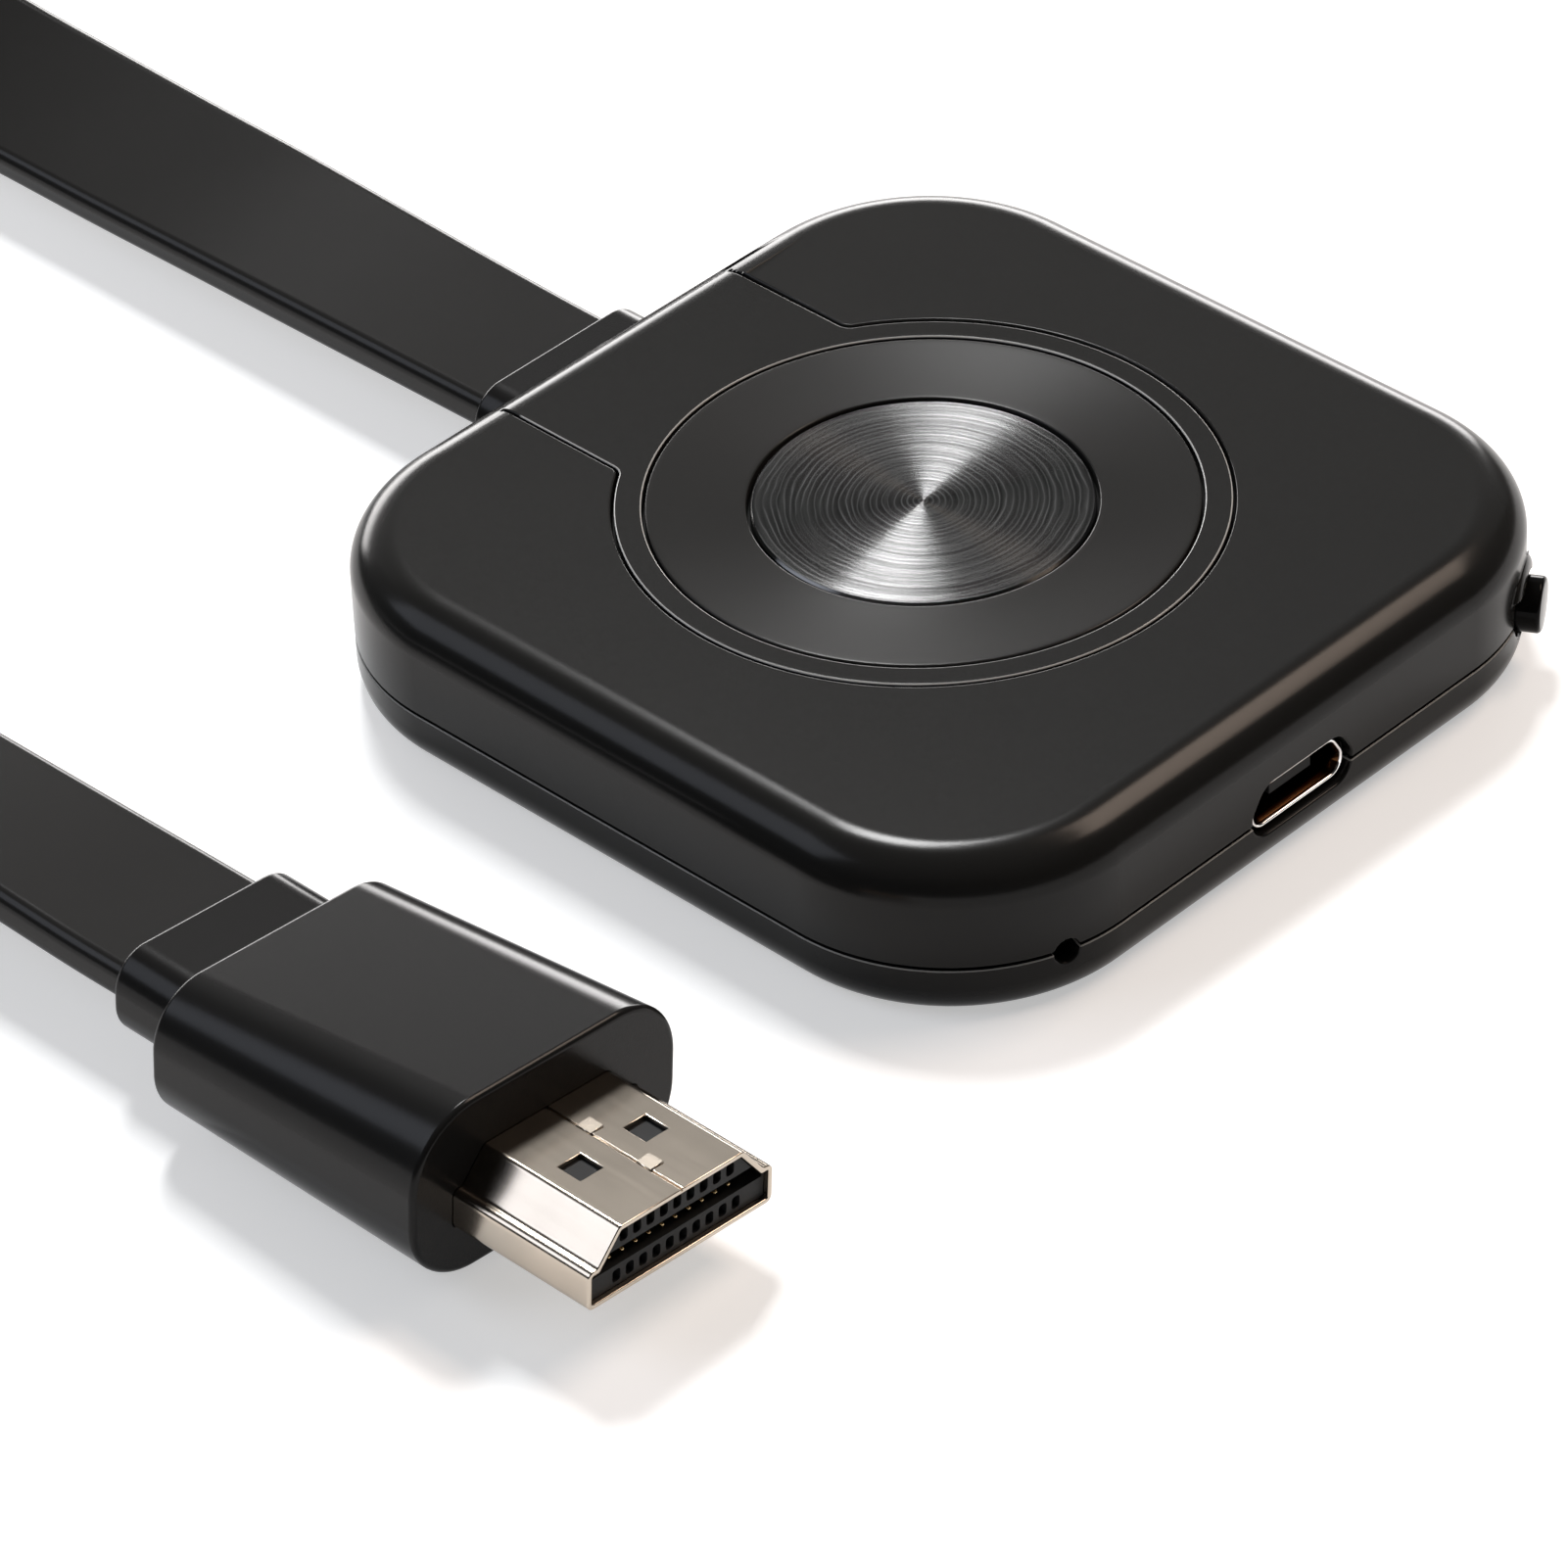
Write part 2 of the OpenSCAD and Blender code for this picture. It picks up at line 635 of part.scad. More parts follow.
module heat_sink() {
  base_t = sink_h * sink_base_share;
  pitch = sink_w / (sink_fins - 1 + sink_fin_share);
  color([0.62, 0.64, 0.66]) translate([0, 0, chip_t + pad_t]) {
    on_board(chip_place, [sink_w, sink_w, base_t]);
    for (k = [0 : sink_fins - 1])
      translate([(k - (sink_fins - 1) / 2) * pitch, 0, 0])
        on_board(chip_place, [pitch * sink_fin_share, sink_w, sink_h]);
  }
}

module memory_chip() {
  color([0.12, 0.12, 0.13]) on_board(memory_place, memory_size);
}

module flash_chip() {
  color([0.12, 0.12, 0.13]) on_board(board_half * flash_share, flash_size);
}

module shield_can() {
  hollow = can_w - 2 * can_sheet_t;
  color([0.75, 0.75, 0.76]) difference() {
    on_board(can_place, [can_w, can_w, can_h]);
    translate([0, 0, -can_sheet_t]) on_board(can_place, [hollow, hollow, can_h]);
  }
}

module crystal() {
  color([0.78, 0.78, 0.76]) on_board(board_half * crystal_share, crystal_size);
}

module inductors() {
  color([0.3, 0.3, 0.31]) for (share = inductor_shares) on_board(board_half * share, inductor_size);
}

module capacitors() {
  color([0.62, 0.48, 0.3]) for (column = [0 : capacitor_columns - 1], row = [0 : capacitor_rows - 1])
    on_board(board_half * (capacitor_first_share + capacitor_step_share * [column, row]), capacitor_size);
}

module status_led() {
  color([0.9, 0.9, 0.85]) translate([-corner_c, -corner_c, 0]) rotate([0, 0, pinhole_angle])
    translate([board_r - 2 * led_size[0], -led_size[1] / 2, board_top]) cube(led_size);
}

module chip_antenna() {
  color([0.85, 0.83, 0.78]) on_board(antenna_place, antenna_size);
}

module port_shell() {
  inner = rounded(inset(port_outline, port_sheet_t), port_corner_r - port_sheet_t);
  flared = rounded(inset(port_outline, port_sheet_t - port_flare), port_corner_r);
  color([0.78, 0.78, 0.8]) at_port() difference() {
    union() {
      along_y(rounded(port_outline, port_corner_r), 0, port_d);
      along_y(rounded(inset(port_outline, -port_flare), port_corner_r + port_flare), 0, port_flare_l);
    }
    along_y(inner, -over, port_d + over - port_sheet_t);
    along_y(flared, -over, over + port_flare_l / 2);
  }
}

module port_tongue() {
  inner = rounded(inset(port_outline, port_sheet_t), port_corner_r - port_sheet_t);
  color([0.08, 0.08, 0.08]) at_port() {
    along_y(inner, port_d - port_sheet_t - tongue_back, tongue_back);
    translate([0, 0, tongue_up])
      along_y(box_outline(tongue_w, tongue_t), tongue_short,
              port_d - port_sheet_t - tongue_short - tongue_back);
  }
}

module port_contacts() {
  color([0.85, 0.66, 0.3]) at_port() for (k = [0 : port_pad_count - 1])
    translate([(k - (port_pad_count - 1) / 2) * port_pad_pitch, 0, tongue_up - (tongue_t + port_pad_t) / 2])
      along_y(box_outline(port_pad_w, port_pad_t), 2 * tongue_short,
              port_d - port_sheet_t - 2 * tongue_short - tongue_back);
}

module cable_gland() {
  waist = rounded(box_outline(gland_w - 2 * gland_waist, gland_h - 2 * gland_waist), gland_r - gland_waist);
  flange = rounded(box_outline(gland_w + 2 * gland_flange_rise, gland_h + 2 * gland_flange_rise), gland_r);
  color([0.11, 0.11, 0.11]) at_gland() {
    eased_bar(gland_w, gland_h, gland_r, half_w, gland_out, gland_ease);
    along_y(waist, half_w - wall_t - gland_fit, wall_t + gland_fit);
    along_y(flange, gland_back, gland_flange_t);
  }
}

module cable_leads() {
  color([0.75, 0.42, 0.22]) for (k = [0 : lead_count - 1])
    translate([(k - (lead_count - 1) / 2) * lead_pitch, gland_back, board_top + lead_r])
      rotate([90, 0, 0]) cylinder(h = lead_l, r = lead_r, $fn = round_fn);
}

// Flat cable: one tube swept along the route, turned about it as the route says
cord_route = concat(
  [[0, gland_face, cable_z, 0]], cord_points,
  [[plug_x - rear_drop * sin(plug_roll), cord_end[1], plug_z - rear_drop * cos(plug_roll), plug_roll]]
);
cord_section = [
  [cable_w / 2, cable_t / 2 - cord_edge], [cable_w / 2 - cord_edge, cable_t / 2],
  [cord_edge - cable_w / 2, cable_t / 2], [-cable_w / 2, cable_t / 2 - cord_edge],
  [-cable_w / 2, cord_edge - cable_t / 2], [cord_edge - cable_w / 2, -cable_t / 2],
  [cable_w / 2 - cord_edge, -cable_t / 2], [cable_w / 2, cord_edge - cable_t / 2]
];
function place(i) = [cord_route[i][0], cord_route[i][1], cord_route[i][2]];
function heading(i) =
  i == 0 ? [0, 1, 0] : i == len(cord_route) - 1 ? [0, -1, 0] : unit(place(i + 1) - place(i - 1));
function cord_ring(i) =
  let (ahead = heading(i), side = unit(cross(ahead, [0, 0, 1])), top = cross(side, ahead),
       turn = cord_route[i][3],
       wide = cos(turn) * side + sin(turn) * top, thin = cos(turn) * top - sin(turn) * side)
  [for (p = cord_section) place(i) + p[0] * wide + p[1] * thin];

module flat_cable() {
  rings = len(cord_route);
  sides = len(cord_section);
  points = [for (i = [0 : rings - 1]) each cord_ring(i)];
  walls = [for (i = [0 : rings - 2], k = [0 : sides - 1])
    let (a = i * sides + k, b = i * sides + (k + 1) % sides)
    each [[a, a + sides, b + sides], [a, b + sides, b]]];
  first_cap = [for (k = [0 : sides - 1]) k];
  last_cap = [for (k = [sides - 1 : -1 : 0]) (rings - 1) * sides + k];
  color([0.12, 0.12, 0.12]) polyhedron(points, concat(walls, [first_cap, last_cap]));
}

// Plug pieces lie along Y, with the wide side of the shell at the bottom
module at_plug() {
  translate([plug_x, 0, plug_z]) rotate([0, plug_roll, 0]) children();
}

shell_shoulder = shell_side_h - shell_h / 2;
shell_outline = [
  [-shell_w / 2, -shell_h / 2], [shell_w / 2, -shell_h / 2],
  [shell_w / 2, shell_shoulder], [shell_w / 2 - shell_ledge, shell_shoulder],
  [shell_top_w / 2, shell_h / 2], [-shell_top_w / 2, shell_h / 2],
  [shell_ledge - shell_w / 2, shell_shoulder], [-shell_w / 2, shell_shoulder]
];
shell_inner = rounded(inset(shell_outline, shell_t), shell_corner_r - shell_t);

module plug_neck() {
  color([0.11, 0.11, 0.11]) at_plug() translate([0, 0, -rear_drop])
    eased_bar(neck_w, neck_h, neck_r, neck_front, neck_l, plug_ease);
}

module plug_body() {
  color([0.12, 0.12, 0.12]) at_plug() difference() {
    eased_bar(plug_w, plug_h, plug_r, body_front, plug_l, plug_ease, [body_taper_w, body_taper_h]);
    along_y(rounded(inset(shell_outline, -shell_fit), shell_corner_r + shell_fit),
            body_front - over, shell_root + over);
  }
}

module plug_shell() {
  top = shell_h / 2;
  color([0.72, 0.7, 0.68]) at_plug() difference() {
    along_y(rounded(shell_outline, shell_corner_r), shell_front, shell_length);
    along_y(shell_inner, shell_front - over, shell_length + 2 * over);
    for (side = [-1, 1], face = [-top, top])
      translate([side * window_pitch / 2, shell_front + window_back, face])
        cube([window_w, window_w, 2 * shell_t + seam_w], center = true);
    translate([-seam_w / 2, shell_front - over, top - shell_t / 2])
      cube([seam_w, shell_out + over, over]);
    for (share = seam_tab_share)
      translate([0, shell_front + share * shell_out, top - shell_t / 2]) difference() {
        translate([0, -seam_tab[1] / 2, 0]) cube([seam_tab[0], seam_tab[1], over]);
        translate([-seam_w, seam_w - seam_tab[1] / 2, -over])
          cube([seam_tab[0], seam_tab[1] - 2 * seam_w, 3 * over]);
      }
  }
}

// The insulator fills the shell, with a wide slot between its two rows of cavities
module plug_insulator() {
  fill = rounded(inset(shell_outline, shell_t + insulator_fit), shell_corner_r - shell_t);
  upper_z = (insulator_base_top + insulator_slot_h + insulator_h / 2) / 2;
  lower_z = (insulator_base_top - insulator_h / 2) / 2;
  color([0.07, 0.07, 0.08]) at_plug() difference() {
    along_y(fill, insulator_front, shell_length - insulator_recess);
    translate([slot_side - shell_w / 2, insulator_front - over, insulator_base_top])
      cube([shell_w - 2 * slot_side, insulator_depth + over, insulator_slot_h]);
    contact_row(contact_count, lower_z) cavity();
    contact_row(contact_count - 1, upper_z) cavity();
  }
}

// Places its child once for each contact of a row at height z
module contact_row(count, z) {
  for (k = [0 : count - 1]) translate([(k - (count - 1) / 2) * contact_pitch, 0, z]) children();
}

module cavity() {
  along_y(box_outline(cavity_w, cavity_h), insulator_front - over, cavity_depth + over);
}

module contact() {
  along_y(box_outline(contact_w, contact_t), insulator_front + contact_set_back, contact_l);
}

// Gilt contacts lie on the floor and under the roof of the insulator's slot
module plug_contacts() {
  color([0.86, 0.67, 0.3]) at_plug() {
    contact_row(contact_count, insulator_base_top + contact_t / 2) contact();
    contact_row(contact_count - 1, insulator_base_top + insulator_slot_h - contact_t / 2) contact();
  }
}

bottom_cover();
top_cover();
keyhole_panel();
dish_ring();
metal_disc();
mode_button();
switch_plunger();
switch_body();
main_board();
main_chip();
thermal_pad();
heat_sink();
memory_chip();
flash_chip();
shield_can();
crystal();
inductors();
capacitors();
status_led();
chip_antenna();
port_shell();
port_tongue();
port_contacts();
cable_gland();
cable_leads();
flat_cable();
plug_neck();
plug_body();
plug_shell();
plug_insulator();
plug_contacts();
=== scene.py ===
"""Looks of a wireless display dongle: moulded covers, spun inlay, flat cable and video plug.

Everything is in metres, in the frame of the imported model: +Z is up, the cable leaves at +Y,
and the origin is the centre of the housing's underside.
"""

from __future__ import annotations

import logging
import math
import sys
from collections.abc import Callable, Sequence
from dataclasses import dataclass, field
from enum import Enum

import bmesh
import bpy
from mathutils import Matrix, Vector


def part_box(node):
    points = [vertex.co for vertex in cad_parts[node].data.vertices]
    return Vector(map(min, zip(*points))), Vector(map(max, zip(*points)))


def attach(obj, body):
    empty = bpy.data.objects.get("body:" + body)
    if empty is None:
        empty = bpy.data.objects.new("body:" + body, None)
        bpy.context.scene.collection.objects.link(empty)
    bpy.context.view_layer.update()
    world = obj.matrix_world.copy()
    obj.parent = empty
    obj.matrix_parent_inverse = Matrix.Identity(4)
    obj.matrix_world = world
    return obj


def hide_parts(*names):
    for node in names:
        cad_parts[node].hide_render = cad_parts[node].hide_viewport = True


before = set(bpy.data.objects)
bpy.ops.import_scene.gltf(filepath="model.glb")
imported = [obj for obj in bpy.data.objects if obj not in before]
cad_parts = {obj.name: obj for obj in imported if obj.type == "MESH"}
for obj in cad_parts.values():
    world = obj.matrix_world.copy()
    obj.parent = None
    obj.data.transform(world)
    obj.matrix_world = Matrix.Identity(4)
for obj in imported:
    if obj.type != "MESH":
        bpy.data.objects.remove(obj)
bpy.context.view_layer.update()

log = logging.getLogger("dongle")

MM = 0.001
HOUSING_BODY = "housing"
BUTTON_BODY = "mode_button"
QUARTER = math.pi / 2
SHARP_FOLD = math.radians(35)
CREASE = math.radians(40)
WELD = 0.002 * MM
NOISE_RANGE = (0.3, 0.7)
FINE_DETAIL = 3
OVERSHOOT = 1 * MM
EDGE_STEPS = 4
CORNER_STEPS = 6
ROUND_STEPS = 8
POST_STEPS = 32

Point = tuple[float, float]
Place = tuple[float, float, float]
Colour = tuple[float, float, float]
Outline = list[Point]
Piece = bpy.types.Object
Shape = bmesh.types.BMesh
Socket = bpy.types.NodeSocket


class CutMode(Enum):
    """How one solid acts on another."""

    TAKE_AWAY = "DIFFERENCE"
    KEEP_COMMON = "INTERSECT"
    ADD = "UNION"


# Outlines


def arc(centre: Point, radii: Point, start: float, end: float, steps: int) -> Outline:
    """Gives the points of an elliptical arc, with both its ends.

    Args:
        centre: Middle of the ellipse.
        radii: Its two radii.
        start: First angle, in radians.
        end: Last angle, in radians.
        steps: Number of pieces the arc is cut into.

    Returns:
        The points, in order.
    """
    (x, y), (across, up) = centre, radii
    angles = [start + (end - start) * k / steps for k in range(steps + 1)]
    return [(x + across * math.cos(t), y + up * math.sin(t)) for t in angles]


def inset(outline: Sequence[Point], distance: float) -> Outline:
    """Moves every side of a counterclockwise outline inwards.

    Args:
        outline: The corners of the outline.
        distance: How far each side moves, below zero for outwards.

    Returns:
        The moved corners.
    """
    moved = []
    count = len(outline)
    for i in range(count):
        before, here, after = (Vector(outline[(i + k) % count]) for k in (-1, 0, 1))
        first = (here - before).normalized()
        second = (after - here).normalized()
        start = here + distance * Vector((-first.y, first.x))
        other = here + distance * Vector((-second.y, second.x))
        across = first.x * second.y - first.y * second.x
        gap = other - start
        moved.append(tuple(start + first * ((gap.x * second.y - gap.y * second.x) / across)))
    return moved


def rounded(outline: Sequence[Point], radius: float, steps: int = CORNER_STEPS) -> Outline:
    """Rounds every corner of an outline, whichever way it turns.

    Args:
        outline: The corners of the outline.
        radius: Radius of the rounding.
        steps: Number of pieces of each rounding.

    Returns:
        The points of the rounded outline.
    """
    points: Outline = []
    count = len(outline)
    for i in range(count):
        before, here, after = (Vector(outline[(i + k) % count]) for k in (-1, 0, 1))
        back = (before - here).normalized()
        ahead = (after - here).normalized()
        half = back.angle(ahead) / 2
        centre = here + (back + ahead).normalized() * radius / math.sin(half)
        first = here + back * radius / math.tan(half) - centre
        way = math.copysign(1, ahead.x * back.y - ahead.y * back.x)
        sweep = way * (math.pi - 2 * half)
        start = math.atan2(first.y, first.x)
        points += arc(tuple(centre), (radius, radius), start, start + sweep, steps)
    return points


def box_outline(width: float, height: float) -> Outline:
    """Gives the corners of a rectangle round the origin."""
    x, y = width / 2, height / 2
    return [(-x, -y), (x, -y), (x, y), (-x, y)]


# Meshes


def reshape(mesh: bpy.types.Mesh, change: Callable[[Shape], object]) -> None:
    """Changes a mesh in its editable form.

    Args:
        mesh: The mesh.
        change: What is done to its editable form.
    """
    shape = bmesh.new()
    shape.from_mesh(mesh)
    change(shape)
    shape.to_mesh(mesh)
    shape.free()


def turn_outwards(shape: Shape) -> None:
    """Turns every face outwards."""
    bmesh.ops.recalc_face_normals(shape, faces=shape.faces)


def new_piece(name: str, points: Sequence[Vector], faces: Sequence[Sequence[int]]) -> Piece:
    """Makes an object from points and faces, with its faces turned outwards.

    Args:
        name: Name of the object.
        points: Its vertices.
        faces: Its faces, as vertex numbers.

    Returns:
        The new object, linked to the scene.
    """
    mesh = bpy.data.meshes.new(name)
    mesh.from_pydata([tuple(p) for p in points], [], [tuple(f) for f in faces])
    reshape(mesh, turn_outwards)
    piece = bpy.data.objects.new(name, mesh)
    bpy.context.scene.collection.objects.link(piece)
    return piece


def loft(name: str, rings: Sequence[Sequence[Vector]]) -> Piece:
    """Makes a closed solid through rings of equal count, with a flat face at each end.

    Args:
        name: Name of the object.
        rings: The rings, in order.

    Returns:
        The new object.
    """
    count = len(rings[0])
    last = (len(rings) - 1) * count
    faces = [list(range(count)), list(range(last, last + count))]
    for i in range(len(rings) - 1):
        for k in range(count):
            a, b = i * count + k, i * count + (k + 1) % count
            faces.append([a, b, b + count, a + count])
    return new_piece(name, [p for ring in rings for p in ring], faces)


def prism(name: str, outline: Sequence[Point], low: float, high: float) -> Piece:
    """Makes an upright prism between two heights."""
    return loft(name, [[Vector((x, y, z)) for x, y in outline] for z in (low, high)])


def bar(
    name: str, outline: Sequence[Point], start: float, end: float, at: Point = (0, 0)
) -> Piece:
    """Makes a prism along Y of an outline in X and Z."""
    rings = [[Vector((at[0] + x, y, at[1] + z)) for x, z in outline] for y in (start, end)]
    return loft(name, rings)


def block(name: str, low: Place, high: Place) -> Piece:
    """Makes a box between two opposite corners."""
    outline = [(low[0], low[2]), (high[0], low[2]), (high[0], high[2]), (low[0], high[2])]
    return bar(name, outline, low[1], high[1])


def eased_bar(
    name: str,
    size: Point,
    radius: float,
    start: float,
    end: float,
    ease: float,
    at: Point = (0, 0),
    taper: Point = (0, 0),
) -> Piece:
    """Makes a bar along Y of a rounded section, with rounded edges at both ends.

    Args:
        name: Name of the object.
        size: Width and height of the section.
        radius: Corner radius of the section.
        start: First Y.
        end: Last Y.
        ease: Radius of the end edges.
        at: X and Z of the bar's axis at its first end.
        taper: How much narrower and lower the section is at the last Y, with its underside level.

    Returns:
        The bar.
    """
    last = (size[0] - taper[0], size[1] - taper[1])
    last_radius = radius * last[1] / size[1]
    ends = ((start, 1, size, radius, 0.0), (end, -1, last, last_radius, taper[1] / 2))
    rings = []
    for y, way, (width, height), corner, fall in ends:
        turns = [QUARTER * k / ROUND_STEPS for k in range(ROUND_STEPS + 1)][::way]
        for t in turns:
            shrink = ease * (1 - math.sin(t))
            sides = box_outline(width - 2 * shrink, height - 2 * shrink)
            depth = y + way * ease * (1 - math.cos(t))
            outline = rounded(sides, corner - shrink, 20)
            rings.append([Vector((at[0] + x, depth, at[1] + z - fall)) for x, z in outline])
    return loft(name, rings)


def revolve(name: str, profile: Sequence[Point], place: Matrix, steps: int = 96) -> Piece:
    """Turns a profile of radius and height round an axis.

    Args:
        name: Name of the object.
        profile: Points of radius and height. A closed ring has no point on the axis.
        place: Takes the profile's own Z axis to the axis of the piece.
        steps: Number of steps round the axis.

    Returns:
        The new object.
    """
    points: list[Vector] = []
    rows: list[list[int]] = []
    angles = [2 * math.pi * k / steps for k in range(steps)]
    for r, z in profile:
        if r > 0:
            rows.append(list(range(len(points), len(points) + steps)))
            points += [place @ Vector((r * math.cos(t), r * math.sin(t), z)) for t in angles]
        else:
            rows.append([len(points)] * steps)
            points.append(place @ Vector((0, 0, z)))
    faces: list[list[int]] = []
    pairs = list(zip(rows, rows[1:]))
    if all(r > 0 for r, z in profile):
        pairs.append((rows[-1], rows[0]))
    for lower, upper in pairs:
        for k in range(steps):
            n = (k + 1) % steps
            corners = [lower[k], lower[n], upper[n], upper[k]]
            face = [c for i, c in enumerate(corners) if c not in corners[:i]]
            if len(face) > 2:
                faces.append(face)
    return new_piece(name, points, faces)


def settle(piece: Piece) -> None:
    """Turns the result of a piece's modifiers into its own plain mesh.

    Args:
        piece: The piece, which loses its modifiers.
    """
    bpy.context.view_layer.update()
    evaluated = piece.evaluated_get(bpy.context.evaluated_depsgraph_get())
    mesh = bpy.data.meshes.new_from_object(evaluated)
    piece.modifiers.clear()
    old = piece.data
    piece.data = mesh
    bpy.data.meshes.remove(old)
    mesh.name = piece.name


def drop(piece: Piece) -> None:
    """Removes a helper object and its mesh.

    Args:
        piece: The helper object.
    """
    mesh = piece.data
    bpy.data.objects.remove(piece)
    bpy.data.meshes.remove(mesh)


def carve(piece: Piece, cutter: Piece, mode: CutMode = CutMode.TAKE_AWAY) -> None:
    """Cuts, joins or meets a piece with a helper solid, which is then removed.

    Args:
        piece: The piece, which is changed.
        cutter: The helper solid.
        mode: How the solid acts on the piece.
    """
    modifier = piece.modifiers.new("carve", "BOOLEAN")
    modifier.solver = "EXACT"
    modifier.operation = mode.value
    modifier.object = cutter
    settle(piece)
    drop(cutter)


def join(piece: Piece, other: Piece) -> None:
    """Adds the mesh of another object to a piece and removes that object."""
    reshape(piece.data, lambda shape: shape.from_mesh(other.data))
    drop(other)


def ease_edges(piece: Piece, width: float, steps: int) -> None:
    """Rounds the sharp edges of a piece.

    Args:
        piece: The piece, which is changed.
        width: Width of the rounding.
        steps: Number of faces across it.
    """

    def bevel(shape: Shape) -> None:
        """Merges doubles and bevels the edges that turn sharply.

        Args:
            shape: The editable form of the mesh.
        """
        bmesh.ops.remove_doubles(shape, verts=shape.verts, dist=WELD)
        pairs = [e for e in shape.edges if len(e.link_faces) == 2]
        bmesh.ops.bevel(
            shape,
            geom=[e for e in pairs if e.calc_face_angle(0) > SHARP_FOLD],
            offset=width,
            offset_type="OFFSET",
            segments=steps,
            profile=0.5,
            affect="EDGES",
            clamp_overlap=False,
        )

    reshape(piece.data, bevel)


def smooth(piece: Piece) -> None:
    """Shades a piece smooth except at its creases, with flat faces kept flat.

    Args:
        piece: The piece, which is changed.
    """
    piece.data.shade_smooth()
    piece.data.set_sharp_from_angle(angle=CREASE)
    modifier = piece.modifiers.new("flat faces", "WEIGHTED_NORMAL")
    modifier.keep_sharp = True
    modifier.mode = "FACE_AREA"
    settle(piece)


# Node trees


class NodeBuilder:
    """Adds nodes to a tree and feeds them from sockets or plain values."""

    def __init__(self, tree: bpy.types.NodeTree) -> None:
        """Takes the tree that gets the nodes."""
        self.tree = tree

    def link(self, source: Socket, target: Socket) -> None:
        """Links two sockets."""
        self.tree.links.new(source, target)

    def add(
        self, kind: str, inputs: dict[str | int, object] | None = None, **values: object
    ) -> bpy.types.Node:
        """Adds a node.

        Args:
            kind: Type of the node.
            inputs: What feeds its inputs, by their names or numbers.
            **values: Its own properties.

        Returns:
            The node.
        """
        node = self.tree.nodes.new(kind)
        for key, value in values.items():
            setattr(node, key, value)
        for key, source in (inputs or {}).items():
            if isinstance(source, Socket):
                self.link(source, node.inputs[key])
            else:
                node.inputs[key].default_value = source
        return node

    def maths(self, operation: str, *terms: Socket | float) -> Socket:
        """Adds a math node and gives its value."""
        terms_by_number = dict(enumerate(terms))
        return self.add("ShaderNodeMath", terms_by_number, operation=operation).outputs["Value"]

    def vectors(self, operation: str, *terms: Socket | Place, output: str = "Vector") -> Socket:
        """Adds a vector math node and gives one of its outputs.

        Args:
            operation: Name of the node's operation.
            *terms: Sockets or plain vectors, in order.
            output: Name of the output.

        Returns:
            The output.
        """
        terms_by_number = dict(enumerate(terms))
        node = self.add("ShaderNodeVectorMath", terms_by_number, operation=operation)
        return node.outputs[output]


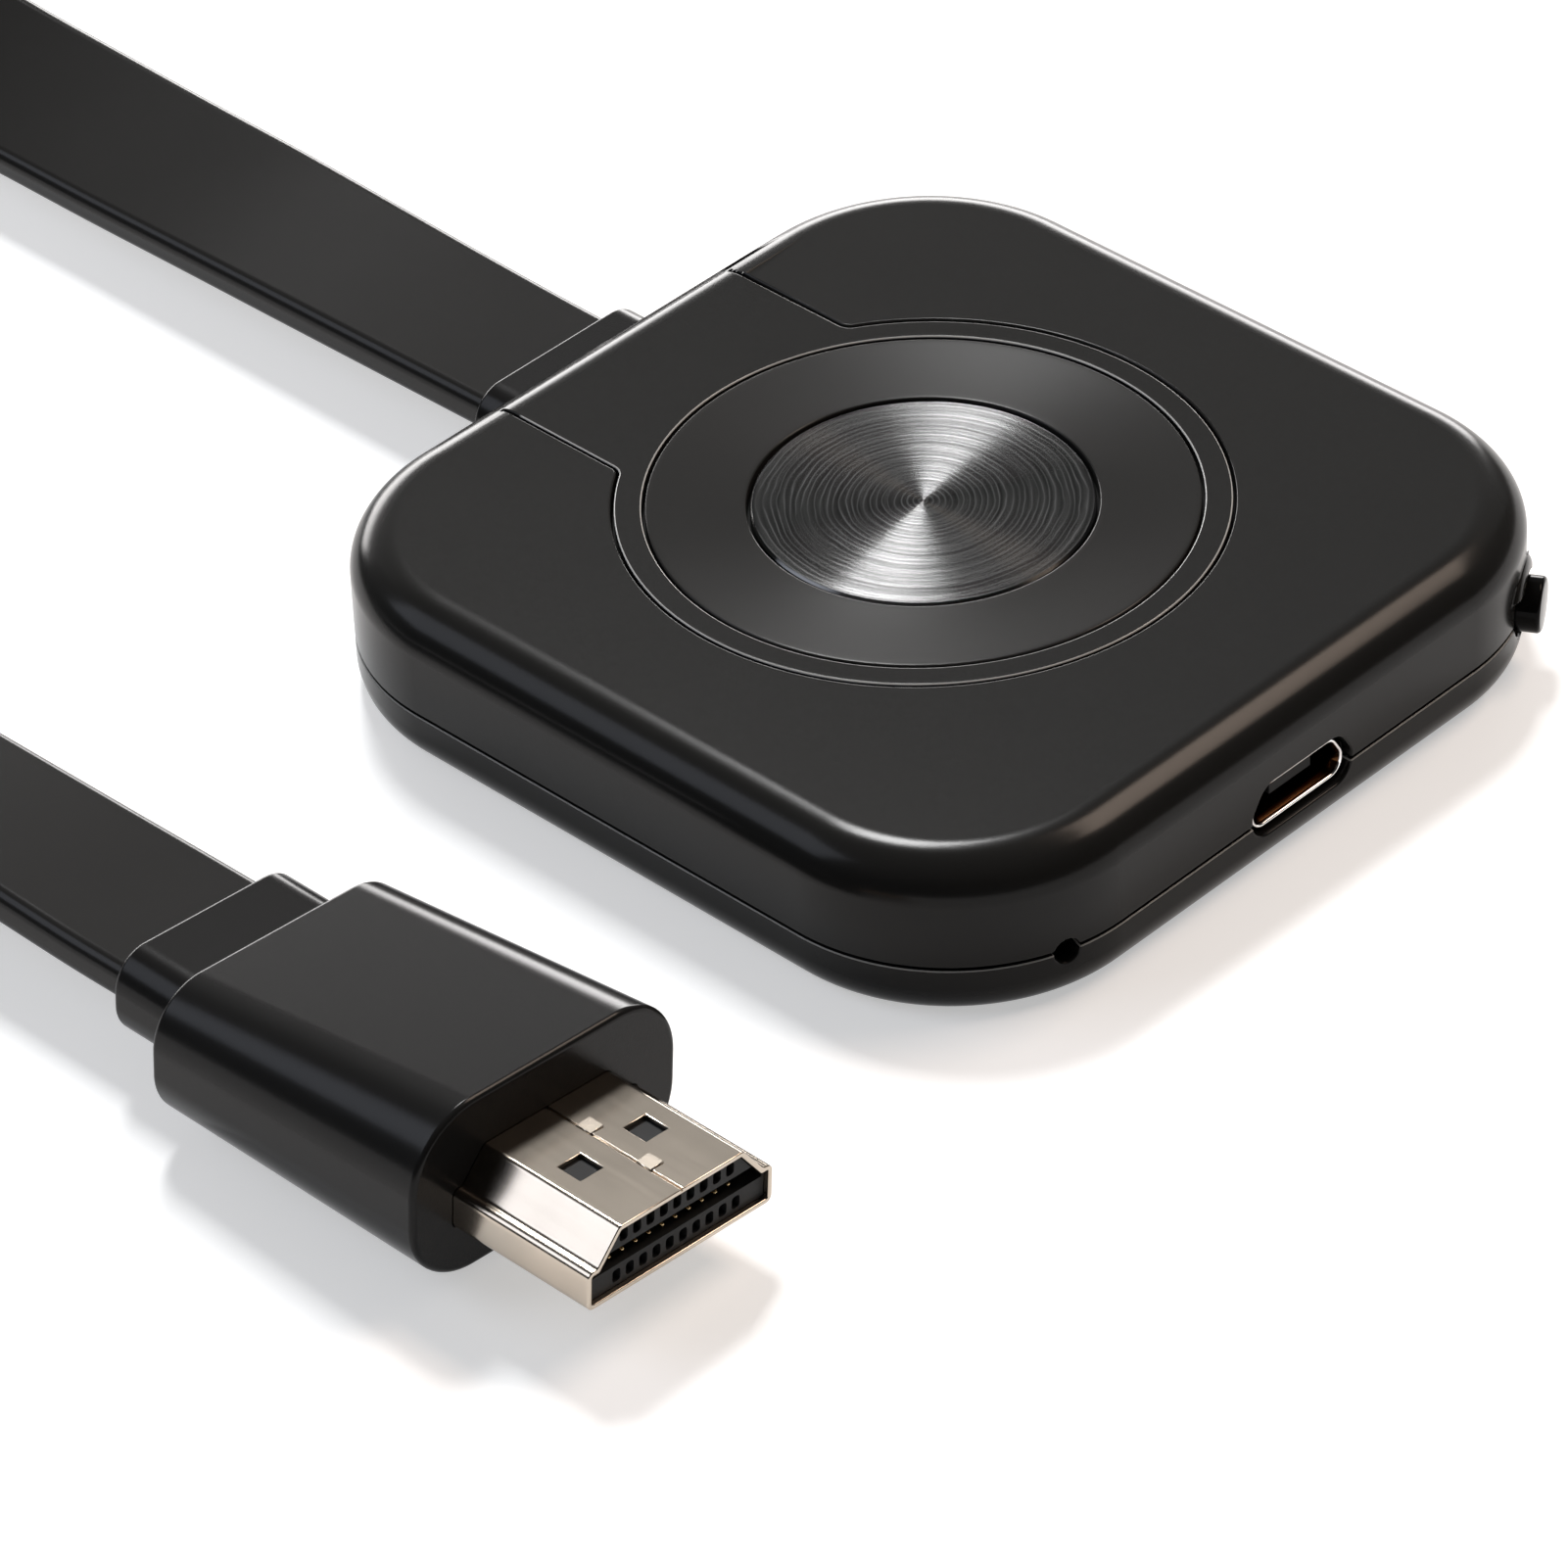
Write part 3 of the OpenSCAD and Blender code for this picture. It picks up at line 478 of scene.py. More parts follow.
class Shading(NodeBuilder):
    """Builds the node tree of one material."""

    def __init__(self, name: str) -> None:
        """Makes an empty material with a Principled shader.

        Args:
            name: Name of the material.
        """
        self.material = bpy.data.materials.new(name)
        self.material.use_nodes = True
        super().__init__(self.material.node_tree)
        self.shader = next(n for n in self.tree.nodes if n.type == "BSDF_PRINCIPLED")
        self.place = self.add("ShaderNodeTexCoord").outputs["Object"]

    def set(self, **values: float | Socket | tuple[float, ...]) -> None:
        """Sets or feeds inputs of the shader by name, with spaces for underscores.

        Args:
            **values: Sockets or plain values.
        """
        for key, value in values.items():
            target = self.shader.inputs[key.replace("_", " ")]
            if isinstance(value, Socket):
                self.link(value, target)
            else:
                target.default_value = value

    def noise(self, scale: float, detail: float = 2.0, vector: Socket | None = None) -> Socket:
        """Adds a noise texture on the object's own coordinates.

        Args:
            scale: Scale of the noise, per metre.
            detail: Number of finer layers.
            vector: Coordinates to use in place of the object's.

        Returns:
            The noise's factor.
        """
        inputs = {"Scale": scale, "Detail": detail, "Vector": vector or self.place}
        return self.add("ShaderNodeTexNoise", inputs).outputs["Fac"]

    def span(self, source: Socket, low: float, high: float) -> Socket:
        """Maps a factor from the middle of a noise's range to a span of values.

        Args:
            source: The factor.
            low: Value at its low end.
            high: Value at its high end.

        Returns:
            The value.
        """
        first, last = NOISE_RANGE
        limits = {"From Min": first, "From Max": last, "To Min": low, "To Max": high}
        return self.add("ShaderNodeMapRange", {**limits, "Value": source}).outputs["Result"]

    def tint(self, source: Socket, dark: Colour, light: Colour) -> None:
        """Lets the base colour run between two colours with a factor.

        Args:
            source: The factor.
            dark: Colour at its low end.
            light: Colour at its high end.
        """
        ramp = self.add("ShaderNodeValToRGB", {"Fac": source})
        stops = ramp.color_ramp.elements
        for stop, position, colour in zip(stops, NOISE_RANGE, (dark, light)):
            stop.position = position
            stop.color = (*colour, 1)
        self.set(Base_Color=ramp.outputs["Color"])

    def vary(self, source: Socket, colour: Colour, spread: float) -> None:
        """Lets the base colour run a share darker and lighter with a factor.

        Args:
            source: The factor.
            colour: The middle colour.
            spread: Share by which it changes each way.
        """
        dark, light = (
            tuple(min(1.0, c * factor) for c in colour) for factor in (1 - spread, 1 + spread)
        )
        self.tint(source, dark, light)

    def roughen(self, source: Socket, roughness: float, spread: float) -> None:
        """Lets the roughness run a share lower and higher with a factor."""
        low, high = roughness * (1 - spread), roughness * (1 + spread)
        self.set(Roughness=self.span(source, low, high))

    def bump(self, source: Socket, depth: float) -> None:
        """Raises the surface by a factor times a depth in metres."""
        node = self.add("ShaderNodeBump", {"Strength": 1, "Distance": depth, "Height": source})
        self.set(Normal=node.outputs["Normal"])

    def rings(self, flat: Socket, radius: Socket, bend: float, scale: float) -> Socket:
        """Adds a noise that runs in rings, a little bent and broken along each ring.

        Args:
            flat: Vector from the centre in the plane of the rings.
            radius: Its length.
            bend: How fast the noise changes along a ring, against across it.
            scale: Scale of the noise, per metre.

        Returns:
            The noise's factor.
        """
        slow = self.add("ShaderNodeVectorMath", {0: flat, "Scale": bend}, operation="SCALE")
        upright = self.add("ShaderNodeCombineXYZ", {"Z": radius})
        bent = self.vectors("ADD", slow.outputs["Vector"], upright.outputs["Vector"])
        return self.noise(scale, vector=bent)

    def spin(self, centre: Place) -> Socket:
        """Runs the grain in rings round an upright axis.

        Args:
            centre: A point of the axis.

        Returns:
            The level vector from the axis to the shaded point.
        """
        flat = self.vectors("MULTIPLY", self.vectors("SUBTRACT", self.place, centre), (1, 1, 0))
        self.set(Tangent=flat)
        return flat

    def cover(self, share: Socket, colour: Colour) -> None:
        """Lays a second colour over the base colour where a share is one.

        Args:
            share: How much of the second colour shows.
            colour: The second colour.
        """
        base = self.shader.inputs["Base Color"].links[0].from_socket
        inputs = {"Factor": share, "A": base, "B": (*colour, 1)}
        self.set(Base_Color=self.add("ShaderNodeMix", inputs, data_type="RGBA").outputs["Result"])

    def step(self, axis: str, level: float, width: float, rising: bool = True) -> Socket:
        """Gives a share that goes between zero and one where a coordinate passes a level.

        Args:
            axis: Name of the coordinate.
            level: Where the share is a half.
            width: How far the change takes.
            rising: Whether it goes up with the coordinate.

        Returns:
            The share.
        """
        parts = self.add("ShaderNodeSeparateXYZ", {"Vector": self.place}).outputs
        way = 1 if rising else -1
        share = self.maths("MULTIPLY_ADD", parts[axis], way / width, 0.5 - way * level / width)
        share.node.use_clamp = True
        return share


class GeometryTree(NodeBuilder):
    """Builds a geometry node tree that makes one kind of piece."""

    def __init__(self, name: str) -> None:
        """Starts a tree that puts out one geometry.

        Args:
            name: Name of the tree.
        """
        super().__init__(bpy.data.node_groups.new(name, "GeometryNodeTree"))
        self.face = self.tree.interface
        self.face.new_socket("Geometry", in_out="OUTPUT", socket_type="NodeSocketGeometry")
        self.entry = self.add("NodeGroupInput")
        self.exit = self.add("NodeGroupOutput")
        self.identifiers: dict[str, str] = {}

    def socket(self, name: str, kind: str, default: object = None) -> Socket:
        """Adds a named input of a kind of value and gives its socket inside the tree.

        Args:
            name: Name of the input.
            kind: Kind of its value, such as Int or Vector.
            default: Its value when none is given.

        Returns:
            The socket.
        """
        item = self.face.new_socket(name, in_out="INPUT", socket_type=f"NodeSocket{kind}")
        if default is not None:
            item.default_value = default
        self.identifiers[name] = item.identifier
        return self.entry.outputs[name]

    def sum(self, first: Socket, second: Socket | float) -> Socket:
        """Adds two values."""
        return self.maths("ADD", first, second)

    def less(self, first: Socket | float, second: Socket) -> Socket:
        """Takes the second value from the first."""
        return self.maths("SUBTRACT", first, second)

    def times(self, first: Socket, second: Socket | float) -> Socket:
        """Multiplies two values."""
        return self.maths("MULTIPLY", first, second)

    def clamped(self, value: Socket) -> Socket:
        """Keeps a value between zero and one."""
        return self.maths("MINIMUM", self.maths("MAXIMUM", value, 0.0), 1.0)

    def real(self, geometry: Socket) -> Socket:
        """Turns instances into plain geometry."""
        return self.add("GeometryNodeRealizeInstances", {"Geometry": geometry}).outputs["Geometry"]

    def end(self, geometry: Socket) -> None:
        """Ends the tree in plain geometry, with its material as the last named input.

        Args:
            geometry: The geometry, with or without instances.
        """
        finish = self.socket("Finish", "Material")
        inputs = {"Geometry": self.real(geometry), "Material": finish}
        dressed = self.add("GeometryNodeSetMaterial", inputs)
        self.link(dressed.outputs["Geometry"], self.exit.inputs["Geometry"])

    def grow(self, name: str, values: dict[str, object]) -> Piece:
        """Grows a piece from the tree and turns it into a plain mesh.

        Args:
            name: Name of the piece.
            values: Value of each named input.

        Returns:
            The piece.
        """
        piece = bpy.data.objects.new(name, bpy.data.meshes.new(name))
        bpy.context.scene.collection.objects.link(piece)
        modifier = piece.modifiers.new("grown", "NODES")
        modifier.node_group = self.tree
        for key, value in values.items():
            modifier[self.identifiers[key]] = value
        settle(piece)
        return piece


# Finishes


@dataclass(frozen=True)
class PaintedHighlightBand:
    """A narrow band along a rounded edge, painted lighter as a highlight."""

    colour: Colour
    low: float
    high: float
    fade: float
    front_of: float = 1.0
    front_fade: float = 0.2 * MM

    def lay(self, look: Shading) -> None:
        """Lays the band's colour between its two heights, in front of a level of Y.

        Args:
            look: The material that gets the band.
        """
        above = look.step("Z", self.low, self.fade)
        below = look.step("Z", self.high, self.fade, rising=False)
        before = look.step("Y", self.front_of, self.front_fade, rising=False)
        share = look.maths("MULTIPLY", look.maths("MULTIPLY", above, below), before)
        # Painted highlight: the band's lighter colour is laid over the base colour.
        look.cover(share, self.colour)


@dataclass(frozen=True)
class MouldedPlastic:
    """Plastic out of a textured mould: faint mottling, with a fine grain in the gloss."""

    name: str
    slot: str
    colour: Colour
    roughness: float = 0.2
    grain_depth: float = 0.002 * MM
    gloss: float = 0.13
    # Painted highlight bands along rounded edges.
    edges: tuple[PaintedHighlightBand, ...] = ()
    spun_about: Place | None = None
    spun: float = 0.7
    mottle: float = 160
    mottle_spread: float = 0.03
    grain: float = 9000
    gloss_spread: float = 0.08

    def material(self) -> bpy.types.Material:
        """Builds the node material, with its painted edge highlights and its grain round an axis.

        Returns:
            The material.
        """
        look = Shading(self.name)
        look.set(Specular_IOR_Level=self.gloss)
        look.vary(look.noise(self.mottle), self.colour, self.mottle_spread)
        # Painted highlights: lighter bands along rounded edges.
        for band in self.edges:
            band.lay(look)
        if self.spun_about:
            look.spin(self.spun_about)
            look.set(Anisotropic=self.spun)
        fine = look.noise(self.grain, FINE_DETAIL)
        look.roughen(fine, self.roughness, self.gloss_spread)
        look.bump(fine, self.grain_depth)
        return look.material


@dataclass(frozen=True)
class PlatedSheet:
    """Nickel plated sheet metal with the faint streaks of rolling."""

    name: str
    slot: str
    colour: Colour
    roughness: float
    # Painted shade: a darker colour inside a socket, from a level of Y inwards.
    inside: Colour | None = None
    painted_shade_from: float = 0.0
    painted_shade_fade: float = 0.08 * MM
    mottle: float = 300
    streak: float = 2600
    streak_stretch: Place = (1, 0.04, 1)
    streak_depth: float = 0.0002 * MM
    spread: float = 0.04

    def material(self) -> bpy.types.Material:
        """Builds the node material, with painted shade darkening the inside of a socket behind its
        mouth.

        Returns:
            The material.
        """
        look = Shading(self.name)
        look.set(Metallic=1.0)
        stretch = {"Scale": self.streak_stretch, "Vector": look.place}
        along = look.add("ShaderNodeMapping", stretch).outputs["Vector"]
        streaks = look.noise(self.streak, FINE_DETAIL, along)
        look.vary(look.noise(self.mottle), self.colour, self.spread)
        # Painted shade: the inside colour covers the metal deeper than the mouth.
        if self.inside:
            look.cover(look.step("Y", self.painted_shade_from, self.painted_shade_fade), self.inside)
        look.roughen(streaks, self.roughness, self.spread)
        look.bump(streaks, self.streak_depth)
        return look.material


@dataclass(frozen=True)
class SpunMetal:
    """Metal turned on a lathe: fine rings that spread every reflection outwards from the centre."""

    name: str
    slot: str
    colour: Colour
    centre: Place
    roughness: float = 0.19
    ring: Point = (0.012, 3800)
    ring_spread: float = 0.5
    blot: Point = (0.35, 700)
    pitch: float = 0.36 * MM
    sway: float = 1.8
    line_sharpness: float = 4.0
    line_least: float = 0.3
    # Lightness of the tool lines: a painted reflection on real turning marks.
    line_painted_reflection: float = 3.4
    line_spread: float = 0.3

    def material(self) -> bpy.types.Material:
        """Builds the node material, with its fine rings and its tool lines, painted lighter as
        reflections.

        Returns:
            The material.
        """
        look = Shading(self.name)
        look.set(Metallic=1.0, Roughness=self.roughness)
        around = look.spin(self.centre)
        radius = look.vectors("LENGTH", around, output="Value")
        fine = look.rings(around, radius, *self.ring)
        broken = look.rings(around, radius, *self.blot)
        turns = look.maths("DIVIDE", radius, self.pitch)
        turns = look.maths("MULTIPLY_ADD", broken, self.sway, turns)
        wave = look.maths("MULTIPLY", look.maths("PINGPONG", turns, 0.5), 2.0)
        narrow = look.maths("POWER", wave, self.line_sharpness)
        line = look.maths("MULTIPLY", narrow, look.span(broken, self.line_least, 1.0))
        look.vary(fine, self.colour, self.ring_spread)
        # Painted reflection: the tool lines are real marks, and their lighter colour stands in for
        # the light the grooves catch.
        look.cover(line, tuple(self.line_painted_reflection * c for c in self.colour))
        look.set(Anisotropic=look.maths("MULTIPLY_ADD", line, -self.line_spread, 1.0))
        return look.material


@dataclass(frozen=True)
class PlainMatter:
    """A plain solid matter of the inner pieces, with a little grain."""

    name: str
    slot: str
    colour: Colour
    roughness: float
    metallic: float = 0.0
    grain: float = 4000
    colour_spread: float = 0.12
    gloss_spread: float = 0.1

    def material(self) -> bpy.types.Material:
        """Builds the node material.

        Returns:
            The material.
        """
        look = Shading(self.name)
        look.set(Metallic=self.metallic)
        fine = look.noise(self.grain, FINE_DETAIL)
        look.vary(fine, self.colour, self.colour_spread)
        look.roughen(fine, self.roughness, self.gloss_spread)
        return look.material


HOUSING_PLASTIC = MouldedPlastic("housing_plastic", "housing_plastic", (0.0115, 0.0115, 0.0111))
BASE_PLASTIC = MouldedPlastic(
    "base_plastic",
    "housing_plastic",
    (0.008, 0.008, 0.0077),
    # Painted highlight along the bottom cover's rounded seam edge.
    edges=(PaintedHighlightBand((0.3, 0.3, 0.29), 3.42 * MM, 3.488 * MM, 0.008 * MM),),
)
INLAY_PLASTIC = MouldedPlastic(
    "inlay_plastic",
    "inlay_plastic",
    (0.0105, 0.0105, 0.0101),
    # Painted highlight along the panel's top edge, short of the rounded edge at the cable side.
    edges=(PaintedHighlightBand((0.42, 0.42, 0.41), 10.4 * MM, 10.488 * MM, 0.01 * MM, 24.7 * MM),),
)
DISH_PLASTIC = MouldedPlastic(
    "dish_plastic", "dish_plastic", (0.015, 0.015, 0.0146), 0.25, spun_about=(0.0, 1.1 * MM, 0.0)
)
BUTTON_PLASTIC = MouldedPlastic(
    "button_plastic", "button_plastic", (0.004, 0.004, 0.004), 0.08, 0.0002 * MM, 0.05
)
CABLE_JACKET = MouldedPlastic("cable_jacket", "cable_jacket", (0.014, 0.014, 0.0137))
MOULDED_GRIP = MouldedPlastic("moulded_grip", "moulded_grip", (0.01, 0.01, 0.01))
INSULATOR_PLASTIC = MouldedPlastic(
    "connector_plastic", "connector_plastic", (0.02, 0.021, 0.022), 0.45
)
PLUG_NICKEL = PlatedSheet("plug_nickel", "plug_nickel", (0.5, 0.44, 0.37), 0.195)
# The brown inside colour behind the mouth is painted shade.
PORT_STEEL = PlatedSheet(
    "port_steel", "port_steel", (0.9, 0.89, 0.88), 0.14, (0.07, 0.03, 0.012), -27.5 * MM
)
GILT = PlainMatter("gilt_contact", "gilt_contact", (0.98, 0.68, 0.36), 0.25, 1.0)
NODE_FINISHES = {
    node: PlainMatter(name, slot, colour, roughness, metallic)
    for node, name, slot, colour, roughness, metallic in (
        ("switch_plunger", "switch_pin_plastic", "switch_pin_plastic", (0.75, 0.7, 0.6), 0.5, 0.0),
        ("switch_body", "switch_plastic", "switch_plastic", (0.05, 0.05, 0.055), 0.5, 0.0),
        ("main_board", "board_laminate", "board_laminate", (0.02, 0.12, 0.06), 0.35, 0.0),
        ("main_chip", "main_chip_plastic", "chip_plastic", (0.02, 0.02, 0.02), 0.55, 0.0),
        ("memory_chip", "memory_chip_plastic", "chip_plastic", (0.02, 0.02, 0.021), 0.55, 0.0),
        ("flash_chip", "flash_chip_plastic", "chip_plastic", (0.021, 0.02, 0.02), 0.55, 0.0),
        ("thermal_pad", "pad_silicone", "pad_silicone", (0.3, 0.35, 0.42), 0.7, 0.0),
        ("heat_sink", "sink_metal", "sink_metal", (0.6, 0.61, 0.62), 0.35, 1.0),
        ("shield_can", "can_metal", "can_metal", (0.7, 0.7, 0.7), 0.3, 1.0),
        ("crystal", "crystal_can", "can_metal", (0.72, 0.72, 0.7), 0.28, 1.0),
        ("inductors", "ferrite", "ferrite", (0.08, 0.08, 0.085), 0.6, 0.0),
        ("capacitors", "capacitor_ceramic", "capacitor_ceramic", (0.4, 0.28, 0.16), 0.5, 0.0),
        ("status_led", "led_resin", "led_resin", (0.85, 0.85, 0.8), 0.2, 0.0),
        ("chip_antenna", "antenna_ceramic", "antenna_ceramic", (0.8, 0.78, 0.72), 0.5, 0.0),
        ("cable_leads", "cable_copper", "cable_copper", (0.75, 0.42, 0.22), 0.35, 1.0),
    )
}

Finish = MouldedPlastic | PlatedSheet | SpunMetal | PlainMatter


def hand_over(piece: Piece, body: str, finish: Finish, *nodes: str) -> None:
    """Dresses a finished piece, lets it ride on its body and hides the nodes it stands for.

    Args:
        piece: The finished piece.
        body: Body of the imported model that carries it.
        finish: Its finish.
        nodes: CAD nodes that it replaces.
    """
    piece.data.materials.clear()
    piece.data.materials.append(finish.material())
    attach(piece, body)
    if nodes:
        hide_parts(*nodes)
    log.info("%s: %d faces on %s", piece.name, len(piece.data.polygons), body)


# Sub-assemblies


@dataclass
class Housing:
    """The two moulded covers, with their openings and the parting line."""

    half_width: float = field(default_factory=lambda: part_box("bottom_cover")[1].x)
    height: float = field(default_factory=lambda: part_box("top_cover")[1].z)
    corner_radius: float = 12.8 * MM
    seam: float = 3.5 * MM
    seam_gap: float = 0.2 * MM
    seam_depth: float = 0.35 * MM
    seam_edge: float = 0.12 * MM
    wall: float = 1.5 * MM
    floor: float = 1.2 * MM
    roof: float = 1.6 * MM
    top_edge: Point = (3.0 * MM, 2.7 * MM)
    bottom_edge: Point = (1.8 * MM, 2.2 * MM)
    lip_height: float = 1.0 * MM
    lip_thickness: float = 0.7 * MM
    lip_gap: float = 0.05 * MM
    edge_width: float = 0.13 * MM
    corner_steps: int = 40
    edge_steps: int = 28
    chamfer_share: float = 0.4
    post_radius: float = 1.6 * MM
    post_root: float = 0.3 * MM
    pin_radius: float = 0.75 * MM
    pin_fit: float = 0.1 * MM
    board_top: float = 2.95 * MM
    board_bottom: float = 1.95 * MM
    post_places: tuple[Point, ...] = (
        (19.4 * MM, 17.0 * MM),
        (-19.4 * MM, 17.0 * MM),
        (19.4 * MM, -13.0 * MM),
        (-19.4 * MM, -13.0 * MM),
    )

    @property
    def corner(self) -> float:
        """Distance of the corner arcs' centres from the middle."""
        return self.half_width - self.corner_radius

    @property
    def inner_radius(self) -> float:
        """Corner radius of the inside of the walls."""
        return self.corner_radius - self.wall

    @property
    def ceiling(self) -> float:
        """Height of the ceiling."""
        return self.height - self.roof

    def spoke(self, side: int, angle: float, height: float) -> Matrix:
        """Takes Z to a level line that leaves the centre of a front corner's arc.

        Args:
            side: 1 for the corner at +X, -1 for the one at -X.
            angle: Angle of the line from +X, in radians.
            height: Its height.

        Returns:
            The transform.
        """
        turn = Matrix.Rotation(angle, 4, "Z") @ Matrix.Rotation(QUARTER, 4, "Y")
        return Matrix.Translation((side * self.corner, -self.corner, height)) @ turn

    def sweep(self, name: str, section: Sequence[Point]) -> Piece:
        """Sweeps a section round the rounded square.

        Args:
            name: Name of the object.
            section: Points of distance from the corner arcs' centre and of height.

        Returns:
            A closed solid.
        """
        signs = [(1, 1), (-1, 1), (-1, -1), (1, -1)]
        rings = []
        for r, z in section:
            ring = []
            for quarter, (sx, sy) in enumerate(signs):
                middle = (sx * self.corner, sy * self.corner)
                start = quarter * QUARTER
                points = arc(middle, (r, r), start, start + QUARTER, self.corner_steps)
                ring += [Vector((x, y, z)) for x, y in points]
            rings.append(ring)
        return loft(name, rings)

    def top_arc(self, depth: float = 0.0) -> Outline:
        """Gives the rounded top edge's section, moved inwards by a depth.

        Args:
            depth: How far the edge is moved inwards.

        Returns:
            Points of distance from the corner centre and of height.
        """
        across, down = self.top_edge
        centre = (self.corner_radius - across, self.height - down)
        return arc(centre, (across - depth, down - depth), 0, QUARTER, self.edge_steps)

    def skin(self, name: str, thickness: float) -> Piece:
        """Makes the outer skin of the roof, down to the foot of its rounded edge.

        Args:
            name: Name of the object.
            thickness: Thickness of the skin.

        Returns:
            The skin, as a closed solid.
        """
        foot = self.height - self.top_edge[1] - thickness
        inner = self.top_arc(thickness)
        edge = (self.corner_radius, foot)
        section = [*reversed(inner), (inner[0][0], foot), edge, *self.top_arc()]
        return self.sweep(name, section)

    def top_cover(self, pocket: Piece) -> Piece:
        """Makes the top cover.

        Args:
            pocket: The solid of the inlay's pocket.

        Returns:
            The cover.
        """
        r, wall_r = self.corner_radius, self.inner_radius
        chamfer = self.chamfer_share * self.wall
        rebate = wall_r + self.lip_thickness + self.lip_gap
        ledge = self.seam + self.lip_height + self.lip_gap
        low = self.seam + self.seam_gap
        e = self.seam_edge
        section = [
            (wall_r - chamfer, self.ceiling),
            (wall_r, self.ceiling - chamfer),
            (wall_r, ledge),
            (rebate, ledge),
            (rebate, self.seam),
            (r - self.seam_depth, self.seam),
            (r - self.seam_depth, low),
            *arc((r - e, low + e), (e, e), -QUARTER, 0, EDGE_STEPS),
            *self.top_arc(),
        ]
        cover = self.sweep("top_cover_shell", section)
        carve(cover, pocket)
        return cover

    def bottom_cover(self) -> Piece:
        """Makes the bottom cover, with the lip that enters the top cover.

        Returns:
            The cover.
        """
        r, wall_r = self.corner_radius, self.inner_radius
        lip = wall_r + self.lip_thickness
        across, up = self.bottom_edge
        e = self.seam_edge
        section = [
            *arc((r - across, up), (across, up), -QUARTER, 0, self.edge_steps),
            *arc((r - e, self.seam - e), (e, e), 0, QUARTER, EDGE_STEPS),
            (lip, self.seam),
            (lip, self.seam + self.lip_height),
            (wall_r, self.seam + self.lip_height),
            (wall_r, self.floor),
        ]
        return self.sweep("bottom_cover_shell", section)

    def add_posts(self, top: Piece, bottom: Piece) -> None:
        """Adds the posts that clamp the board, with the top posts' pins in the bottom bosses.

        Args:
            top: The top cover, which gets the posts and pins.
            bottom: The bottom cover, which gets the bosses.
        """
        foot = self.floor / 2
        roof = self.ceiling + self.post_root
        bore = self.pin_radius + self.pin_fit
        post = [
            (0, foot),
            (self.pin_radius, foot),
            (self.pin_radius, self.board_top),
            (self.post_radius, self.board_top),
            (self.post_radius, roof),
            (0, roof),
        ]
        boss = [
            (bore, foot),
            (self.post_radius, foot),
            (self.post_radius, self.board_bottom),
            (bore, self.board_bottom),
        ]
        for x, y in self.post_places:
            place = Matrix.Translation((x, y, 0))
            join(top, revolve("post", post, place, POST_STEPS))
            join(bottom, revolve("boss", boss, place, POST_STEPS))


@dataclass
class ModeButton:
    """The round push button at one corner, with the hood over it."""

    housing: Housing
    axis_height: float = 4.1 * MM
    angle: float = math.radians(-60)
    radius: float = 1.7 * MM
    proud: float = 1.25 * MM
    edge: float = 0.25 * MM
    flange_radius: float = 2.25 * MM
    flange_room: float = 1.2 * MM
    flange_thickness: float = 0.6 * MM
    fit: float = 0.05 * MM
    halo: float = 0.3 * MM
    halo_depth: float = 0.45 * MM
    hood_width: float = 0.9 * MM
    hood_proud: float = 0.3 * MM
    hood_from: float = 0.9
    hood_rise: float = 1.5
    seat_share: float = 0.8
    steps: int = 128

    @property
    def place(self) -> Matrix:
        """Takes Z to the button's axis, from the centre of the corner's arc."""
        return self.housing.spoke(1, self.angle, self.axis_height)

    @property
    def seat(self) -> float:
        """Distance of the flange's seat from the corner's centre."""
        return self.housing.corner_radius - self.seat_share * self.housing.wall

    def bore(self) -> Piece:
        """Makes the solid that the covers lose round the button.

        Returns:
            The solid.
        """
        start = self.seat - self.flange_room
        wide = self.flange_radius + 2 * self.fit
        outside = self.housing.corner_radius + self.proud
        halo_start = self.housing.corner_radius - self.halo_depth
        profile = [
            (0, start),
            (wide, start),
            (wide, self.seat),
            (self.radius + self.fit, self.seat),
            (self.radius + self.fit, halo_start),
            (self.radius + self.halo, halo_start),
            (self.radius + self.halo, outside),
            (0, outside),
        ]
        return revolve("button_bore", profile, self.place)

    def hood(self) -> Piece:
        """Makes the hood, to be joined to the top cover before the bore is cut.

        Returns:
            The hood.
        """
        root = self.housing.corner_radius - self.halo_depth
        shoulder = self.housing.corner_radius - self.hood_proud / 2
        inner = self.radius + self.halo / 2
        width = self.halo / 2 + self.hood_width
        rise = self.hood_rise * self.hood_proud
        crown = arc((inner, shoulder), (width, rise), 0, QUARTER, ROUND_STEPS)
        profile = [(inner, root), (inner + width, root), *crown]
        hood = revolve("button_hood", profile, self.place)
        reach = 4 * self.housing.half_width
        low = self.axis_height + self.hood_from * self.radius
        keep = prism("upper_part", box_outline(reach, reach), low, self.housing.ceiling)
        carve(hood, keep, CutMode.KEEP_COMMON)
        return hood

    def build(self) -> None:
        """Makes the cap with its flange."""
        back = self.seat - self.fit - self.flange_thickness
        front = self.seat - self.fit
        tip = self.housing.corner_radius + self.proud
        e = self.edge
        profile = [
            (0, back),
            (self.flange_radius, back),
            (self.flange_radius, front),
            (self.radius, front),
            *arc((self.radius - e, tip - e), (e, e), 0, QUARTER, ROUND_STEPS),
            (0, tip),
        ]
        cap = revolve("button_cap", profile, self.place, self.steps)
        smooth(cap)
        hand_over(cap, BUTTON_BODY, BUTTON_PLASTIC, "mode_button")


